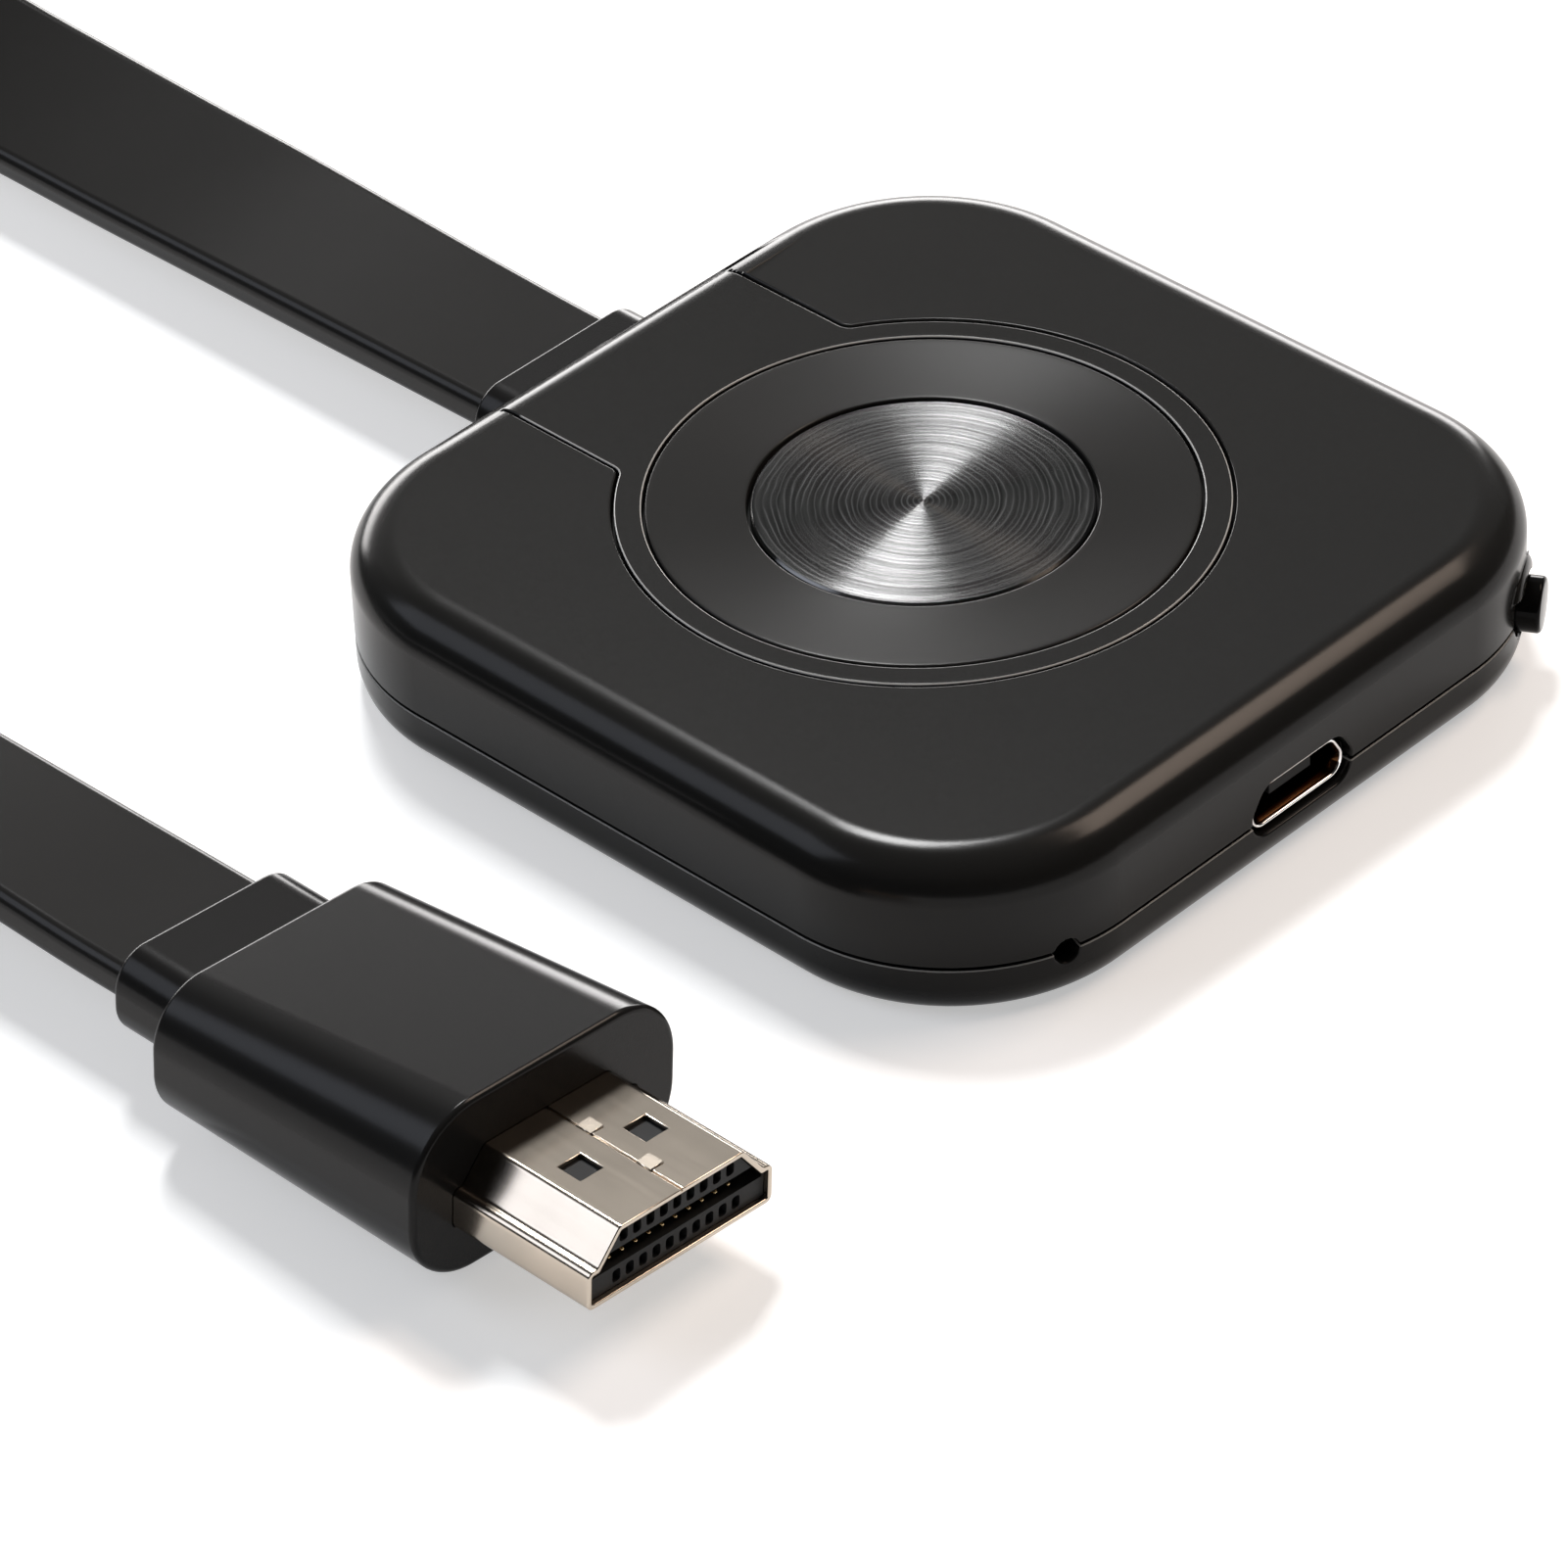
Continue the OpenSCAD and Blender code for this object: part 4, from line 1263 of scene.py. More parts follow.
@dataclass
class PowerPort:
    """The five-pin power port: a flared metal shell round a tongue with contacts."""

    housing: Housing
    width: float = 7.5 * MM
    height: float = 2.5 * MM
    top_width: float = 5.9 * MM
    depth: float = 5.0 * MM
    axis_height: float = 4.2 * MM
    sheet: float = 0.25 * MM
    recess: float = 0.4 * MM
    clearance: float = 0.5 * MM
    flare: float = 0.22 * MM
    flare_length: float = 0.7 * MM
    corner: float = 0.85 * MM
    steps: int = 6

    @property
    def front(self) -> float:
        """Y of the port's mouth."""
        return self.recess - self.housing.half_width

    def outline(self, grow: float = 0.0) -> Outline:
        """Gives the port's outline, with its wide side down, moved outwards by grow.

        Args:
            grow: How far the sides are moved outwards.

        Returns:
            The outline in X and Z, from the axis of the port.
        """
        x, z = self.width / 2, self.height / 2
        top = self.top_width / 2
        corners = [(-x, -z), (x, -z), (x, 0), (top, z), (-top, z), (-x, 0)]
        return rounded(inset(corners, -grow), self.corner + grow, ROUND_STEPS)

    def ring(self, grow: float, y: float) -> list[Vector]:
        """Gives the outline at a depth behind the mouth."""
        return [Vector((x, self.front + y, self.axis_height + z)) for x, z in self.outline(grow)]

    def opening(self) -> Piece:
        """Makes the solid that the covers lose round the port.

        Returns:
            The solid.
        """
        outline = self.outline(self.clearance)
        outside = -self.housing.half_width - OVERSHOOT
        inside = self.housing.wall + OVERSHOOT - self.housing.half_width
        return bar("port_opening", outline, outside, inside, (0, self.axis_height))

    def flared(self, k: int, inwards: float) -> list[Vector]:
        """Gives the outline at a step of the flare behind the mouth, moved inwards.

        Args:
            k: Number of the step, from the mouth inwards.
            inwards: How far the outline is moved inwards.

        Returns:
            The ring.
        """
        share = k / self.steps
        ease = self.flare * (1 - math.sin(share * QUARTER))
        return self.ring(ease - inwards, self.sheet / 2 + share * self.flare_length)

    def rolled(self, k: int) -> list[Vector]:
        """Gives the outline at a step round the mouth's rolled edge, from inside to outside.

        Args:
            k: Number of the step.

        Returns:
            The ring.
        """
        lip = self.sheet / 2
        t = math.pi * k / self.steps
        return self.ring(self.flare - lip - lip * math.cos(t), lip - lip * math.sin(t))

    def build(self) -> None:
        """Makes the shell with its rolled mouth. The tongue and contacts stay as they are."""
        steps = range(self.steps + 1)
        rings = [
            self.ring(-self.sheet, self.depth - self.sheet),
            *(self.flared(k, self.sheet) for k in reversed(steps)),
            *(self.rolled(k) for k in steps),
            *(self.flared(k, 0.0) for k in steps[1:]),
            self.ring(0, self.depth),
        ]
        shell = loft("port_mouth", rings)
        smooth(shell)
        hand_over(shell, HOUSING_BODY, PORT_STEEL, "port_shell")


@dataclass
class TopInlay:
    """The keyhole panel, the dished ring and the spun metal disc let into the roof."""

    housing: Housing
    head_y: float = 1.1 * MM
    head_radius: float = 18.0 * MM
    tongue_width: float = 19.2 * MM
    fillet: float = 1.0 * MM
    ring_radius: float = 16.2 * MM
    disc_radius: float = 10.1 * MM
    groove: float = 0.2 * MM
    panel_thickness: float = 1.0 * MM
    dish_depth: float = 0.2 * MM
    dish_step: float = 0.05 * MM
    disc_thickness: float = 0.75 * MM
    edge: float = 0.13 * MM
    turned_pitch: float = 0.32 * MM
    turned_depth: float = 0.003 * MM
    disc_bevel: float = 0.14 * MM
    disc_crease: float = math.radians(30)
    disc_weld: float = 0.0005 * MM
    disc_colour: Colour = (0.08, 0.08, 0.08)
    round_steps: int = 220
    turned_steps: int = 256
    slope_steps: int = 24
    rim_steps: int = 5
    rows_per_groove: int = 4

    @property
    def seat(self) -> float:
        """Height of the pocket's floor."""
        return self.housing.height - self.panel_thickness

    def keyhole(self, grow: float) -> Outline:
        """Gives the keyhole's outline, with its tongue past the cable side.

        Args:
            grow: How far the outline is moved outwards.

        Returns:
            The outline, counterclockwise from the tongue's far right corner.
        """
        head = self.head_radius + grow
        side = self.tongue_width / 2 + grow
        fillet = self.fillet - grow
        across = side + fillet
        up = math.sqrt((head + fillet) ** 2 - across**2)
        lean = math.atan2(up, across)
        far = self.housing.half_width + OVERSHOOT
        middle = (0, self.head_y)
        high = self.head_y + up
        left = arc((-across, high), (fillet, fillet), 0, -lean, ROUND_STEPS)
        ends = (math.pi - lean, 2 * math.pi + lean)
        round_head = arc(middle, (head, head), *ends, self.round_steps)
        right = arc((across, high), (fillet, fillet), math.pi + lean, math.pi, ROUND_STEPS)
        return [(side, far), (-side, far), *left, *round_head[1:-1], *right]

    def column(self, name: str, grow: float) -> Piece:
        """Makes an upright column of the keyhole's outline through the roof."""
        low = self.housing.height - self.housing.top_edge[1] - grow
        return prism(name, self.keyhole(grow), low, self.housing.height + OVERSHOOT)

    def pocket(self) -> Piece:
        """Makes the solid that the top cover loses to the inlay.

        Returns:
            The solid.
        """
        pocket = self.housing.skin("pocket", self.panel_thickness)
        carve(pocket, self.column("pocket_column", self.groove), CutMode.KEEP_COMMON)
        lid = self.column("pocket_lid", self.groove)
        lid.data.transform(Matrix.Translation((0, 0, self.housing.top_edge[1])))
        join(pocket, lid)
        return pocket

    def panel(self) -> None:
        """Makes the keyhole panel, bent over the rounded edge at the cable side."""
        panel = self.housing.skin("inlay_panel", self.panel_thickness)
        carve(panel, self.column("panel_column", 0.0), CutMode.KEEP_COMMON)
        hole_radius = self.ring_radius + self.groove
        middle = (0, self.head_y)
        hole = arc(middle, (hole_radius, hole_radius), 0, 2 * math.pi, self.round_steps)[:-1]
        column = prism("ring_hole", hole, self.seat - OVERSHOOT, self.housing.height + OVERSHOOT)
        carve(panel, column)
        ease_edges(panel, self.edge, EDGE_STEPS)
        smooth(panel)
        hand_over(panel, HOUSING_BODY, INLAY_PLASTIC, "keyhole_panel")

    def dish(self) -> None:
        """Makes the dished ring with eased edges."""
        top = self.housing.height
        outer, inner = self.ring_radius, self.disc_radius + self.groove
        edge = self.edge
        fall = self.dish_depth - self.dish_step
        slope = []
        for k in range(self.slope_steps + 1):
            s = k / self.slope_steps
            radius = outer - edge + (inner + 2 * edge - outer) * s
            slope.append((radius, top - self.dish_step - fall * math.sin(s * QUARTER)))
        low = top - self.dish_depth
        high = top - self.dish_step
        near = arc((outer - edge, high - edge), (edge, edge), 0, QUARTER, self.rim_steps)
        far = arc((inner + edge, low - edge), (edge, edge), QUARTER, 2 * QUARTER, self.rim_steps)
        profile = [(inner, self.seat), (outer, self.seat), *near, *slope[1:-1], *far]
        place = Matrix.Translation((0, self.head_y, 0))
        ring = revolve("inlay_dish", profile, place, self.turned_steps)
        smooth(ring)
        hand_over(ring, HOUSING_BODY, DISH_PLASTIC, "dish_ring")

    def disc_tree(self) -> GeometryTree:
        """Makes the node tree of a disc with turned grooves.

        A flat grid is wound round the axis. Its last three rows are the bevel's foot, the
        side's foot and the middle of the underside.

        Returns:
            The tree, with named inputs for the sizes.
        """
        tree = GeometryTree("turned disc")
        around = tree.socket("Around", "Int", 256)
        turns = tree.socket("Turned rows", "Int", 200)
        radius = tree.socket("Radius", "Float", 0.01)
        pitch = tree.socket("Groove pitch", "Float", 0.0003)
        depth = tree.socket("Groove depth", "Float", 0.00001)
        bevel = tree.socket("Bevel", "Float", 0.0001)
        thick = tree.socket("Thickness", "Float", 0.0003)
        centre = tree.socket("Centre", "Vector", (0, 0, 0))
        rows = tree.sum(turns, 3)
        grid = tree.add("GeometryNodeMeshGrid", {"Vertices X": around, "Vertices Y": rows})
        position = tree.add("GeometryNodeInputPosition").outputs["Position"]
        spot = tree.add("ShaderNodeSeparateXYZ", {"Vector": position}).outputs
        angle = tree.times(tree.sum(spot["X"], 0.5), 2 * math.pi)
        row = tree.times(tree.sum(spot["Y"], 0.5), tree.sum(rows, -1))
        last = tree.sum(turns, -1)
        share = tree.maths("MINIMUM", tree.maths("DIVIDE", row, last), 1.0)
        past = tree.less(row, last)
        rim, side, under = (tree.clamped(tree.sum(past, -k)) for k in range(3))
        flat = tree.times(share, tree.less(radius, bevel))
        reach = tree.sum(flat, tree.times(rim, bevel))
        reach = tree.times(reach, tree.less(1.0, under))
        half = tree.times(pitch, 0.5)
        wave = tree.maths("DIVIDE", tree.maths("PINGPONG", flat, half), half)
        fall = tree.sum(tree.times(wave, depth), tree.times(rim, bevel))
        fall = tree.sum(fall, tree.times(side, tree.less(thick, tree.sum(bevel, depth))))
        wound = {
            "X": tree.times(reach, tree.maths("COSINE", angle)),
            "Y": tree.times(reach, tree.maths("SINE", angle)),
            "Z": tree.times(fall, -1.0),
        }
        spread = tree.add("ShaderNodeCombineXYZ", wound).outputs["Vector"]
        moved = {"Geometry": grid.outputs["Mesh"], "Position": tree.vectors("ADD", spread, centre)}
        disc = tree.add("GeometryNodeSetPosition", moved).outputs["Geometry"]
        weld = {"Geometry": disc, "Distance": self.disc_weld}
        tree.end(tree.add("GeometryNodeMergeByDistance", weld).outputs["Geometry"])
        return tree

    def disc(self) -> None:
        """Makes the spun disc by a node tree of turned grooves."""
        middle = (0.0, self.head_y, self.seat + self.disc_thickness)
        turned = self.disc_radius - self.disc_bevel
        grooves = round(turned / self.turned_pitch)
        finish = SpunMetal("spun_metal", "spun_metal", self.disc_colour, middle)
        values = {
            "Around": self.turned_steps,
            "Turned rows": self.rows_per_groove * grooves + 1,
            "Radius": self.disc_radius,
            "Groove pitch": turned / grooves,
            "Groove depth": self.turned_depth,
            "Bevel": self.disc_bevel,
            "Thickness": self.disc_thickness,
            "Centre": middle,
            "Finish": finish.material(),
        }
        piece = self.disc_tree().grow("inlay_disc", values)
        reshape(piece.data, turn_outwards)
        piece.data.shade_smooth()
        piece.data.set_sharp_from_angle(angle=self.disc_crease)
        hand_over(piece, HOUSING_BODY, finish, "metal_disc")

    def build(self) -> None:
        """Makes the three inlay pieces."""
        self.panel()
        self.dish()
        self.disc()


@dataclass
class CableRun:
    """The gland at the housing and the flat cable that lies in one loop to the plug."""

    housing: Housing
    width: float = 11.6 * MM
    thickness: float = 2.4 * MM
    edge: float = 0.85 * MM
    gland_width: float = 14.2 * MM
    gland_height: float = 5.2 * MM
    gland_out: float = 3.7 * MM
    gland_ease: float = 0.3 * MM
    gland_round: float = 0.45
    waist_cut: float = 0.8 * MM
    waist_fit: float = 0.1 * MM
    waist_hold: float = 0.05 * MM
    waist_overlap: float = 0.1 * MM
    flange_grow: float = 0.6 * MM
    flange_thickness: float = 1.1 * MM
    exit_height: float = 4.75 * MM
    steps: int = 6

    @property
    def route(self) -> list[tuple[float, float, float, float]]:
        """The cable's way in millimetres, and the turn of its flat side about it in degrees."""
        face = (self.housing.half_width + self.gland_out) / MM
        return [
            (0, face, self.exit_height / MM, 0),
            (0, 37, 4.75, 1),
            (0, 44, 4.8, 3),
            (0, 52, 4.9, 6),
            (0, 60, 5, 9),
            (0, 68, 5, 11),
            (0, 76, 5.1, 13),
            (0, 84, 5.2, 16),
            (0, 92, 5.5, 22),
            (0, 100, 5.8, 36),
            (-1, 106.5, 5.9, 54),
            (-3.5, 112.5, 5.9, 71),
            (-7.5, 118, 5.9, 84),
            (-12.5, 122, 5.9, 90),
            (-19, 124.5, 5.9, 90),
            (-25.5, 125.5, 5.9, 90),
            (-32.5, 124.5, 5.9, 90),
            (-39, 122, 5.9, 90),
            (-44.2, 118, 5.9, 84),
            (-48.2, 112.5, 5.9, 71),
            (-50.6, 106.5, 5.9, 54),
            (-51.5, 100, 5.8, 36),
            (-51.7, 92, 5.5, 22),
            (-51.7, 82, 5.2, 14),
            (-51.7, 70, 5, 11),
            (-51.7, 58, 4.9, 10),
            (-51.7, 46, 4.8, 10),
            (-51.7, 34, 4.8, 9),
            (-51.7, 22, 4.8, 7),
            (-51.7, 13, 4.8, 5),
            (-51.7, 7.6, 4.863, 5),
        ]

    def path(self) -> list[Vector]:
        """Gives closely spaced points of the way and its turn, as vectors of four numbers.

        Returns:
            The points, as X, Y, Z and the turn in radians.
        """
        knots = [Vector((x * MM, y * MM, z * MM, math.radians(t))) for x, y, z, t in self.route]
        knots = [2 * knots[0] - knots[1], *knots, 2 * knots[-1] - knots[-2]]
        points = []
        for i in range(1, len(knots) - 2):
            a, b, c, d = knots[i - 1 : i + 3]
            for k in range(self.steps):
                t = k / self.steps
                slope_in, slope_out = (c - a) / 2, (d - b) / 2
                points.append(
                    b * (2 * t**3 - 3 * t**2 + 1)
                    + slope_in * (t**3 - 2 * t**2 + t)
                    + c * (3 * t**2 - 2 * t**3)
                    + slope_out * (t**3 - t**2)
                )
        return [*points, knots[-2]]

    def ribbon(self) -> tuple[Piece, list[Vector]]:
        """Makes the flat cable.

        Returns:
            The cable, and the points that it follows.
        """
        points = self.path()
        places = [p.xyz for p in points]
        section = rounded(box_outline(self.width, self.thickness), self.edge, ROUND_STEPS)
        rings = []
        for i, place in enumerate(places):
            ahead = places[min(i + 1, len(places) - 1)] - places[max(i - 1, 0)]
            if i in (0, len(places) - 1):
                ahead.z = 0
            ahead.normalize()
            side = ahead.cross(Vector((0, 0, 1))).normalized()
            top = side.cross(ahead)
            turn = points[i][3]
            wide = math.cos(turn) * side + math.sin(turn) * top
            thin = math.cos(turn) * top - math.sin(turn) * side
            rings.append([place + x * wide + y * thin for x, y in section])
        cable = loft("ribbon_cable", rings)
        smooth(cable)
        hand_over(cable, HOUSING_BODY, CABLE_JACKET, "flat_cable")
        return cable, places

    def section(self, grow: float, corner: float) -> Outline:
        """Gives the gland's section, with its sides grown and its corner radius changed."""
        sides = box_outline(self.gland_width + grow, self.gland_height + grow)
        return rounded(sides, self.gland_radius + corner)

    @property
    def gland_radius(self) -> float:
        """Corner radius of the gland's section."""
        return self.gland_round * self.gland_height

    def gland(self) -> Piece:
        """Makes the gland, with the waist and flange by which the wall holds it.

        Returns:
            The gland.
        """
        face = self.housing.half_width
        outside = face + self.gland_out
        at = (0, self.exit_height)
        size = (self.gland_width, self.gland_height)
        ease = self.gland_ease
        gland = eased_bar("cable_grommet", size, self.gland_radius, face, outside, ease, at)
        waist = self.section(-self.waist_cut, -self.waist_cut / 2)
        flange = self.section(self.flange_grow, 0.0)
        back = face - self.housing.wall - self.waist_hold
        overlap = self.waist_overlap
        join(gland, bar("waist", waist, back - overlap, face + overlap, at))
        join(gland, bar("flange", flange, back - self.flange_thickness, back, at))
        smooth(gland)
        hand_over(gland, HOUSING_BODY, MOULDED_GRIP, "cable_gland")
        return gland

    def opening(self) -> Piece:
        """Makes the solid that the covers lose round the gland's waist.

        Returns:
            The solid.
        """
        outline = self.section(self.waist_fit - self.waist_cut, -self.waist_cut / 2)
        face = self.housing.half_width
        start = face - self.housing.wall - OVERSHOOT
        return bar("gland_opening", outline, start, face + OVERSHOOT, (0, self.exit_height))


@dataclass
class VideoPlug:
    """The moulded plug, its folded metal shell, and the insulator with its contacts.

    The pieces are built round the plug's own axis, with Y as it is, and are then set in place.
    """

    x: float = -51.6 * MM
    cable_end: float = 7.6 * MM
    roll: float = math.radians(5)
    neck: Place = (13.6 * MM, 5.6 * MM, 5.8 * MM)
    neck_round: float = 0.42
    body: Place = (19.8 * MM, 11.1 * MM, 21.0 * MM)
    body_radius: float = 4.6 * MM
    taper: Point = (1.2 * MM, 2.3 * MM)
    ease: float = 0.35 * MM
    shell_width: float = 13.9 * MM
    shell_height: float = 4.45 * MM
    shell_top_width: float = 9.3 * MM
    shell_side: float = 2.5 * MM
    shell_ledge: float = 0.7 * MM
    shell_out: float = 10.1 * MM
    shell_root: float = 6.0 * MM
    shell_fit: float = 0.05 * MM
    sheet: float = 0.3 * MM
    sheet_edge: float = 0.06 * MM
    sheet_round: float = 0.25
    corner: float = 0.45 * MM
    window: float = 1.7 * MM
    window_pitch: float = 4.9 * MM
    window_back: float = 5.1 * MM
    seam: float = 0.13 * MM
    tab: Point = (0.95 * MM, 1.1 * MM)
    tab_height: float = 0.11 * MM
    tab_fall: float = 0.06 * MM
    tab_edge: float = 0.04 * MM
    tab_shares: Point = (0.28, 0.72)
    contact_count: int = 10
    contact_pitch: float = 1.0 * MM
    contact: Point = (0.26 * MM, 0.25 * MM)
    contact_length: float = 9.0 * MM
    contact_set_back: float = 0.5 * MM
    contact_bow: float = 0.34 * MM
    lower_bow: float = 0.04 * MM
    contact_corner: float = 0.08 * MM
    cavity: Point = (0.6 * MM, 0.8 * MM)
    cavity_corner: float = 0.2 * MM
    cavity_depth: float = 3.0 * MM
    recess: float = 0.35 * MM
    core_fit: float = 0.03 * MM
    slot_side: float = 0.5 * MM
    slot_depth: float = 11.0 * MM
    slot_low: float = 0.36
    slot_share: float = 0.27

    @property
    def place(self) -> Matrix:
        """Takes the plug to where it lies, rolled on one of its lower edges."""
        width, height, _ = self.body
        r = self.body_radius
        z = r + (height / 2 - r) * math.cos(self.roll) + (width / 2 - r) * math.sin(self.roll)
        return Matrix.Translation((self.x, 0, z)) @ Matrix.Rotation(self.roll, 4, "Y")

    @property
    def neck_front(self) -> float:
        """Y where the neck meets the body."""
        return self.cable_end - self.neck[2]

    @property
    def body_front(self) -> float:
        """Y of the body's front face."""
        return self.neck_front - self.body[2]

    @property
    def mouth(self) -> float:
        """Y of the shell's mating end."""
        return self.body_front - self.shell_out

    @property
    def inner_height(self) -> float:
        """Height of the shell's inside."""
        return self.shell_height - 2 * self.sheet

    @property
    def slot(self) -> Point:
        """Heights of the slot's floor and roof, from the plug's axis."""
        low = (self.slot_low - 0.5) * self.inner_height
        return low, low + self.slot_share * self.inner_height

    def outline(self, depth: float = 0.0, steps: int = 0) -> Outline:
        """Gives the shell's section, with the wide side down.

        Args:
            depth: How far the sides are moved inwards.
            steps: Number of pieces of each rounded corner, or 0 for sharp corners.

        Returns:
            The section's points.
        """
        x, z = self.shell_width / 2, self.shell_height / 2
        top = self.shell_top_width / 2
        shoulder = self.shell_side - z
        ledge = x - self.shell_ledge
        right = [(x, -z), (x, shoulder), (ledge, shoulder), (top, z)]
        left = [(-a, b) for a, b in reversed(right)]
        corners = inset([left[-1], *right, *left[:-1]], depth)
        return rounded(corners, self.corner - max(depth, 0.0), steps) if steps else corners

    def finish(self, piece: Piece, finish: Finish, node: str) -> Piece:
        """Sets a piece in the plug's place, smooths it and hands it over.

        Args:
            piece: The piece, built round the plug's own axis.
            finish: Its finish.
            node: CAD node that it stands for.

        Returns:
            The same piece.
        """
        piece.data.transform(self.place)
        smooth(piece)
        hand_over(piece, HOUSING_BODY, finish, node)
        return piece

    def moulding(self) -> list[Piece]:
        """Makes the neck and the body.

        Returns:
            The neck and the body.
        """
        front, back = self.body_front, self.neck_front
        size = self.neck[:2]
        at = (0, -self.taper[1] / 2)
        radius = self.neck_round * size[1]
        neck = eased_bar("plug_grip_neck", size, radius, back, self.cable_end, self.ease, at)
        size, radius = self.body[:2], self.body_radius
        body = eased_bar("plug_grip", size, radius, front, back, self.ease, taper=self.taper)
        hole = self.outline(-self.shell_fit, CORNER_STEPS)
        end = front + self.shell_root + self.shell_fit
        carve(body, bar("shell_hole", hole, front - OVERSHOOT, end))
        named = ((neck, "plug_neck"), (body, "plug_body"))
        return [self.finish(piece, MOULDED_GRIP, node) for piece, node in named]

    def sleeve(self) -> Piece:
        """Makes the shell as a sleeve with a rounded mating edge.

        Returns:
            The sleeve.
        """
        back = self.body_front + self.shell_root
        ease = self.sheet_round * self.sheet
        turns = [QUARTER * k / EDGE_STEPS for k in range(EDGE_STEPS + 1)]
        bends = [(ease * (1 - math.sin(t)), ease * (1 - math.cos(t))) for t in turns]
        stations = [(self.sheet - set_back, depth) for depth, set_back in bends]
        stations += bends
        sections = [
            (self.sheet, back),
            *((depth, self.mouth + set_back) for depth, set_back in stations),
            (0.0, back),
        ]
        rings = [
            [Vector((a, y, b)) for a, b in self.outline(depth, CORNER_STEPS)]
            for depth, y in sections
        ]
        sleeve = loft("plug_sleeve", rings)

        def open_back(shape: Shape) -> None:
            """Joins the outer and inner walls by a flat rim at the back.

            Args:
                shape: The editable form of the mesh.
            """
            caps = [f for f in shape.faces if len(f.verts) > 4]
            bmesh.ops.delete(shape, geom=caps, context="FACES_ONLY")
            edges = [e for e in shape.edges if len(e.link_faces) == 1]
            bmesh.ops.bridge_loops(shape, edges=edges)
            turn_outwards(shape)

        reshape(sleeve.data, open_back)
        return sleeve

    def shell(self) -> Piece:
        """Makes the folded shell with its windows, its seam and the tabs across it.

        Returns:
            The shell.
        """
        shell = self.sleeve()
        back = self.body_front + self.shell_root
        top = self.shell_height / 2
        under = top - self.sheet / 2
        half = self.window / 2
        y = self.mouth + self.window_back
        for x in (-self.window_pitch / 2, self.window_pitch / 2):
            for z in (-top, top):
                low = (x - half, y - half, z - 2 * self.sheet)
                high = (x + half, y + half, z + 2 * self.sheet)
                carve(shell, block("window", low, high))
        seam = self.seam / 2
        low = (-seam, self.mouth - OVERSHOOT, under)
        carve(shell, block("seam", low, (seam, back + OVERSHOOT, top + OVERSHOOT)))
        ease_edges(shell, self.sheet_edge, steps=3)
        wide, long = self.tab
        high = top + self.tab_height
        wedge = [(-seam, under), (wide, under), (wide, high), (-seam, high - self.tab_fall)]
        for share in self.tab_shares:
            y = self.mouth + share * self.shell_out
            tab = bar("tab", wedge, y - long / 2, y + long / 2)
            ease_edges(tab, self.tab_edge, steps=1)
            join(shell, tab)
        return self.finish(shell, PLUG_NICKEL, "plug_shell")

    def insulator(self) -> Piece:
        """Makes the insulator, with two rows of cavities cut by a node tree.

        Returns:
            The insulator.
        """
        corners = self.outline(self.sheet + self.core_fit)
        outline = rounded(corners, self.corner - self.sheet, EDGE_STEPS)
        front = self.mouth + self.recess
        core = bar("insulator_block", outline, front, self.body_front + self.shell_root)
        low, high = self.slot
        side = self.shell_width / 2 - self.slot_side
        slot = block("slot", (-side, front - OVERSHOOT, low), (side, front + self.slot_depth, high))
        carve(core, slot)
        tree = GeometryTree("cavity rows")
        stock = tree.add("GeometryNodeObjectInfo", {"Object": tree.socket("Stock", "Object")})
        solids = {"Mesh 1": stock.outputs["Geometry"], "Mesh 2": self.rows(tree)}
        cut = tree.add("GeometryNodeMeshBoolean", solids, operation="DIFFERENCE")
        tree.end(cut.outputs["Mesh"])
        pocket = rounded(box_outline(*self.cavity), self.cavity_corner, EDGE_STEPS)
        cavity = bar("cavity", pocket, -OVERSHOOT, self.cavity_depth)
        half = self.inner_height / 2
        values = self.row_values(front, ((low - half) / 2, (high + half) / 2), (cavity, cavity))
        values.update({"Stock": core, "Finish": INSULATOR_PLASTIC.material()})
        piece = tree.grow("plug_core", values)
        drop(core)
        drop(cavity)
        return self.finish(piece, INSULATOR_PLASTIC, "plug_insulator")

    def rows(self, tree: GeometryTree) -> Socket:
        """Adds the nodes that set a shape on every spot of the lower and the upper row.

        Args:
            tree: The tree, which gets the rows' named inputs.

        Returns:
            The shapes, as plain geometry.
        """
        lower = tree.socket("Lower count", "Int", 10)
        pitch = tree.socket("Pitch", "Float", 0.001)
        step = tree.add("ShaderNodeCombineXYZ", {"X": pitch}).outputs["Vector"]
        together = tree.add("GeometryNodeJoinGeometry")
        for row, count in (("lower", lower), ("upper", tree.sum(lower, -1))):
            first = tree.socket(f"First {row}", "Vector", (0, 0, 0))
            shape = tree.socket(f"Shape {row}", "Object")
            spread = {"Count": count, "Start Location": first, "Offset": step}
            line = tree.add("GeometryNodeMeshLine", spread, mode="OFFSET")
            source = tree.add("GeometryNodeObjectInfo", {"Object": shape})
            placed = {"Points": line.outputs["Mesh"], "Instance": source.outputs["Geometry"]}
            spots = tree.add("GeometryNodeInstanceOnPoints", placed)
            tree.link(spots.outputs["Instances"], together.inputs["Geometry"])
        return tree.real(together.outputs["Geometry"])

    def row_values(
        self, y: float, heights: Point, shapes: tuple[Piece, Piece]
    ) -> dict[str, object]:
        """Gives the inputs of the two rows.

        Args:
            y: Y of the rows.
            heights: Height of the lower and of the upper row.
            shapes: What is set on the lower and on the upper row.

        Returns:
            Values by the names of the inputs.
        """
        values: dict[str, object] = {"Lower count": self.contact_count, "Pitch": self.contact_pitch}
        counts = (self.contact_count, self.contact_count - 1)
        for row, count, z, shape in zip(("lower", "upper"), counts, heights, shapes):
            values[f"First {row}"] = ((1 - count) * self.contact_pitch / 2, y, z)
            values[f"Shape {row}"] = shape
        return values

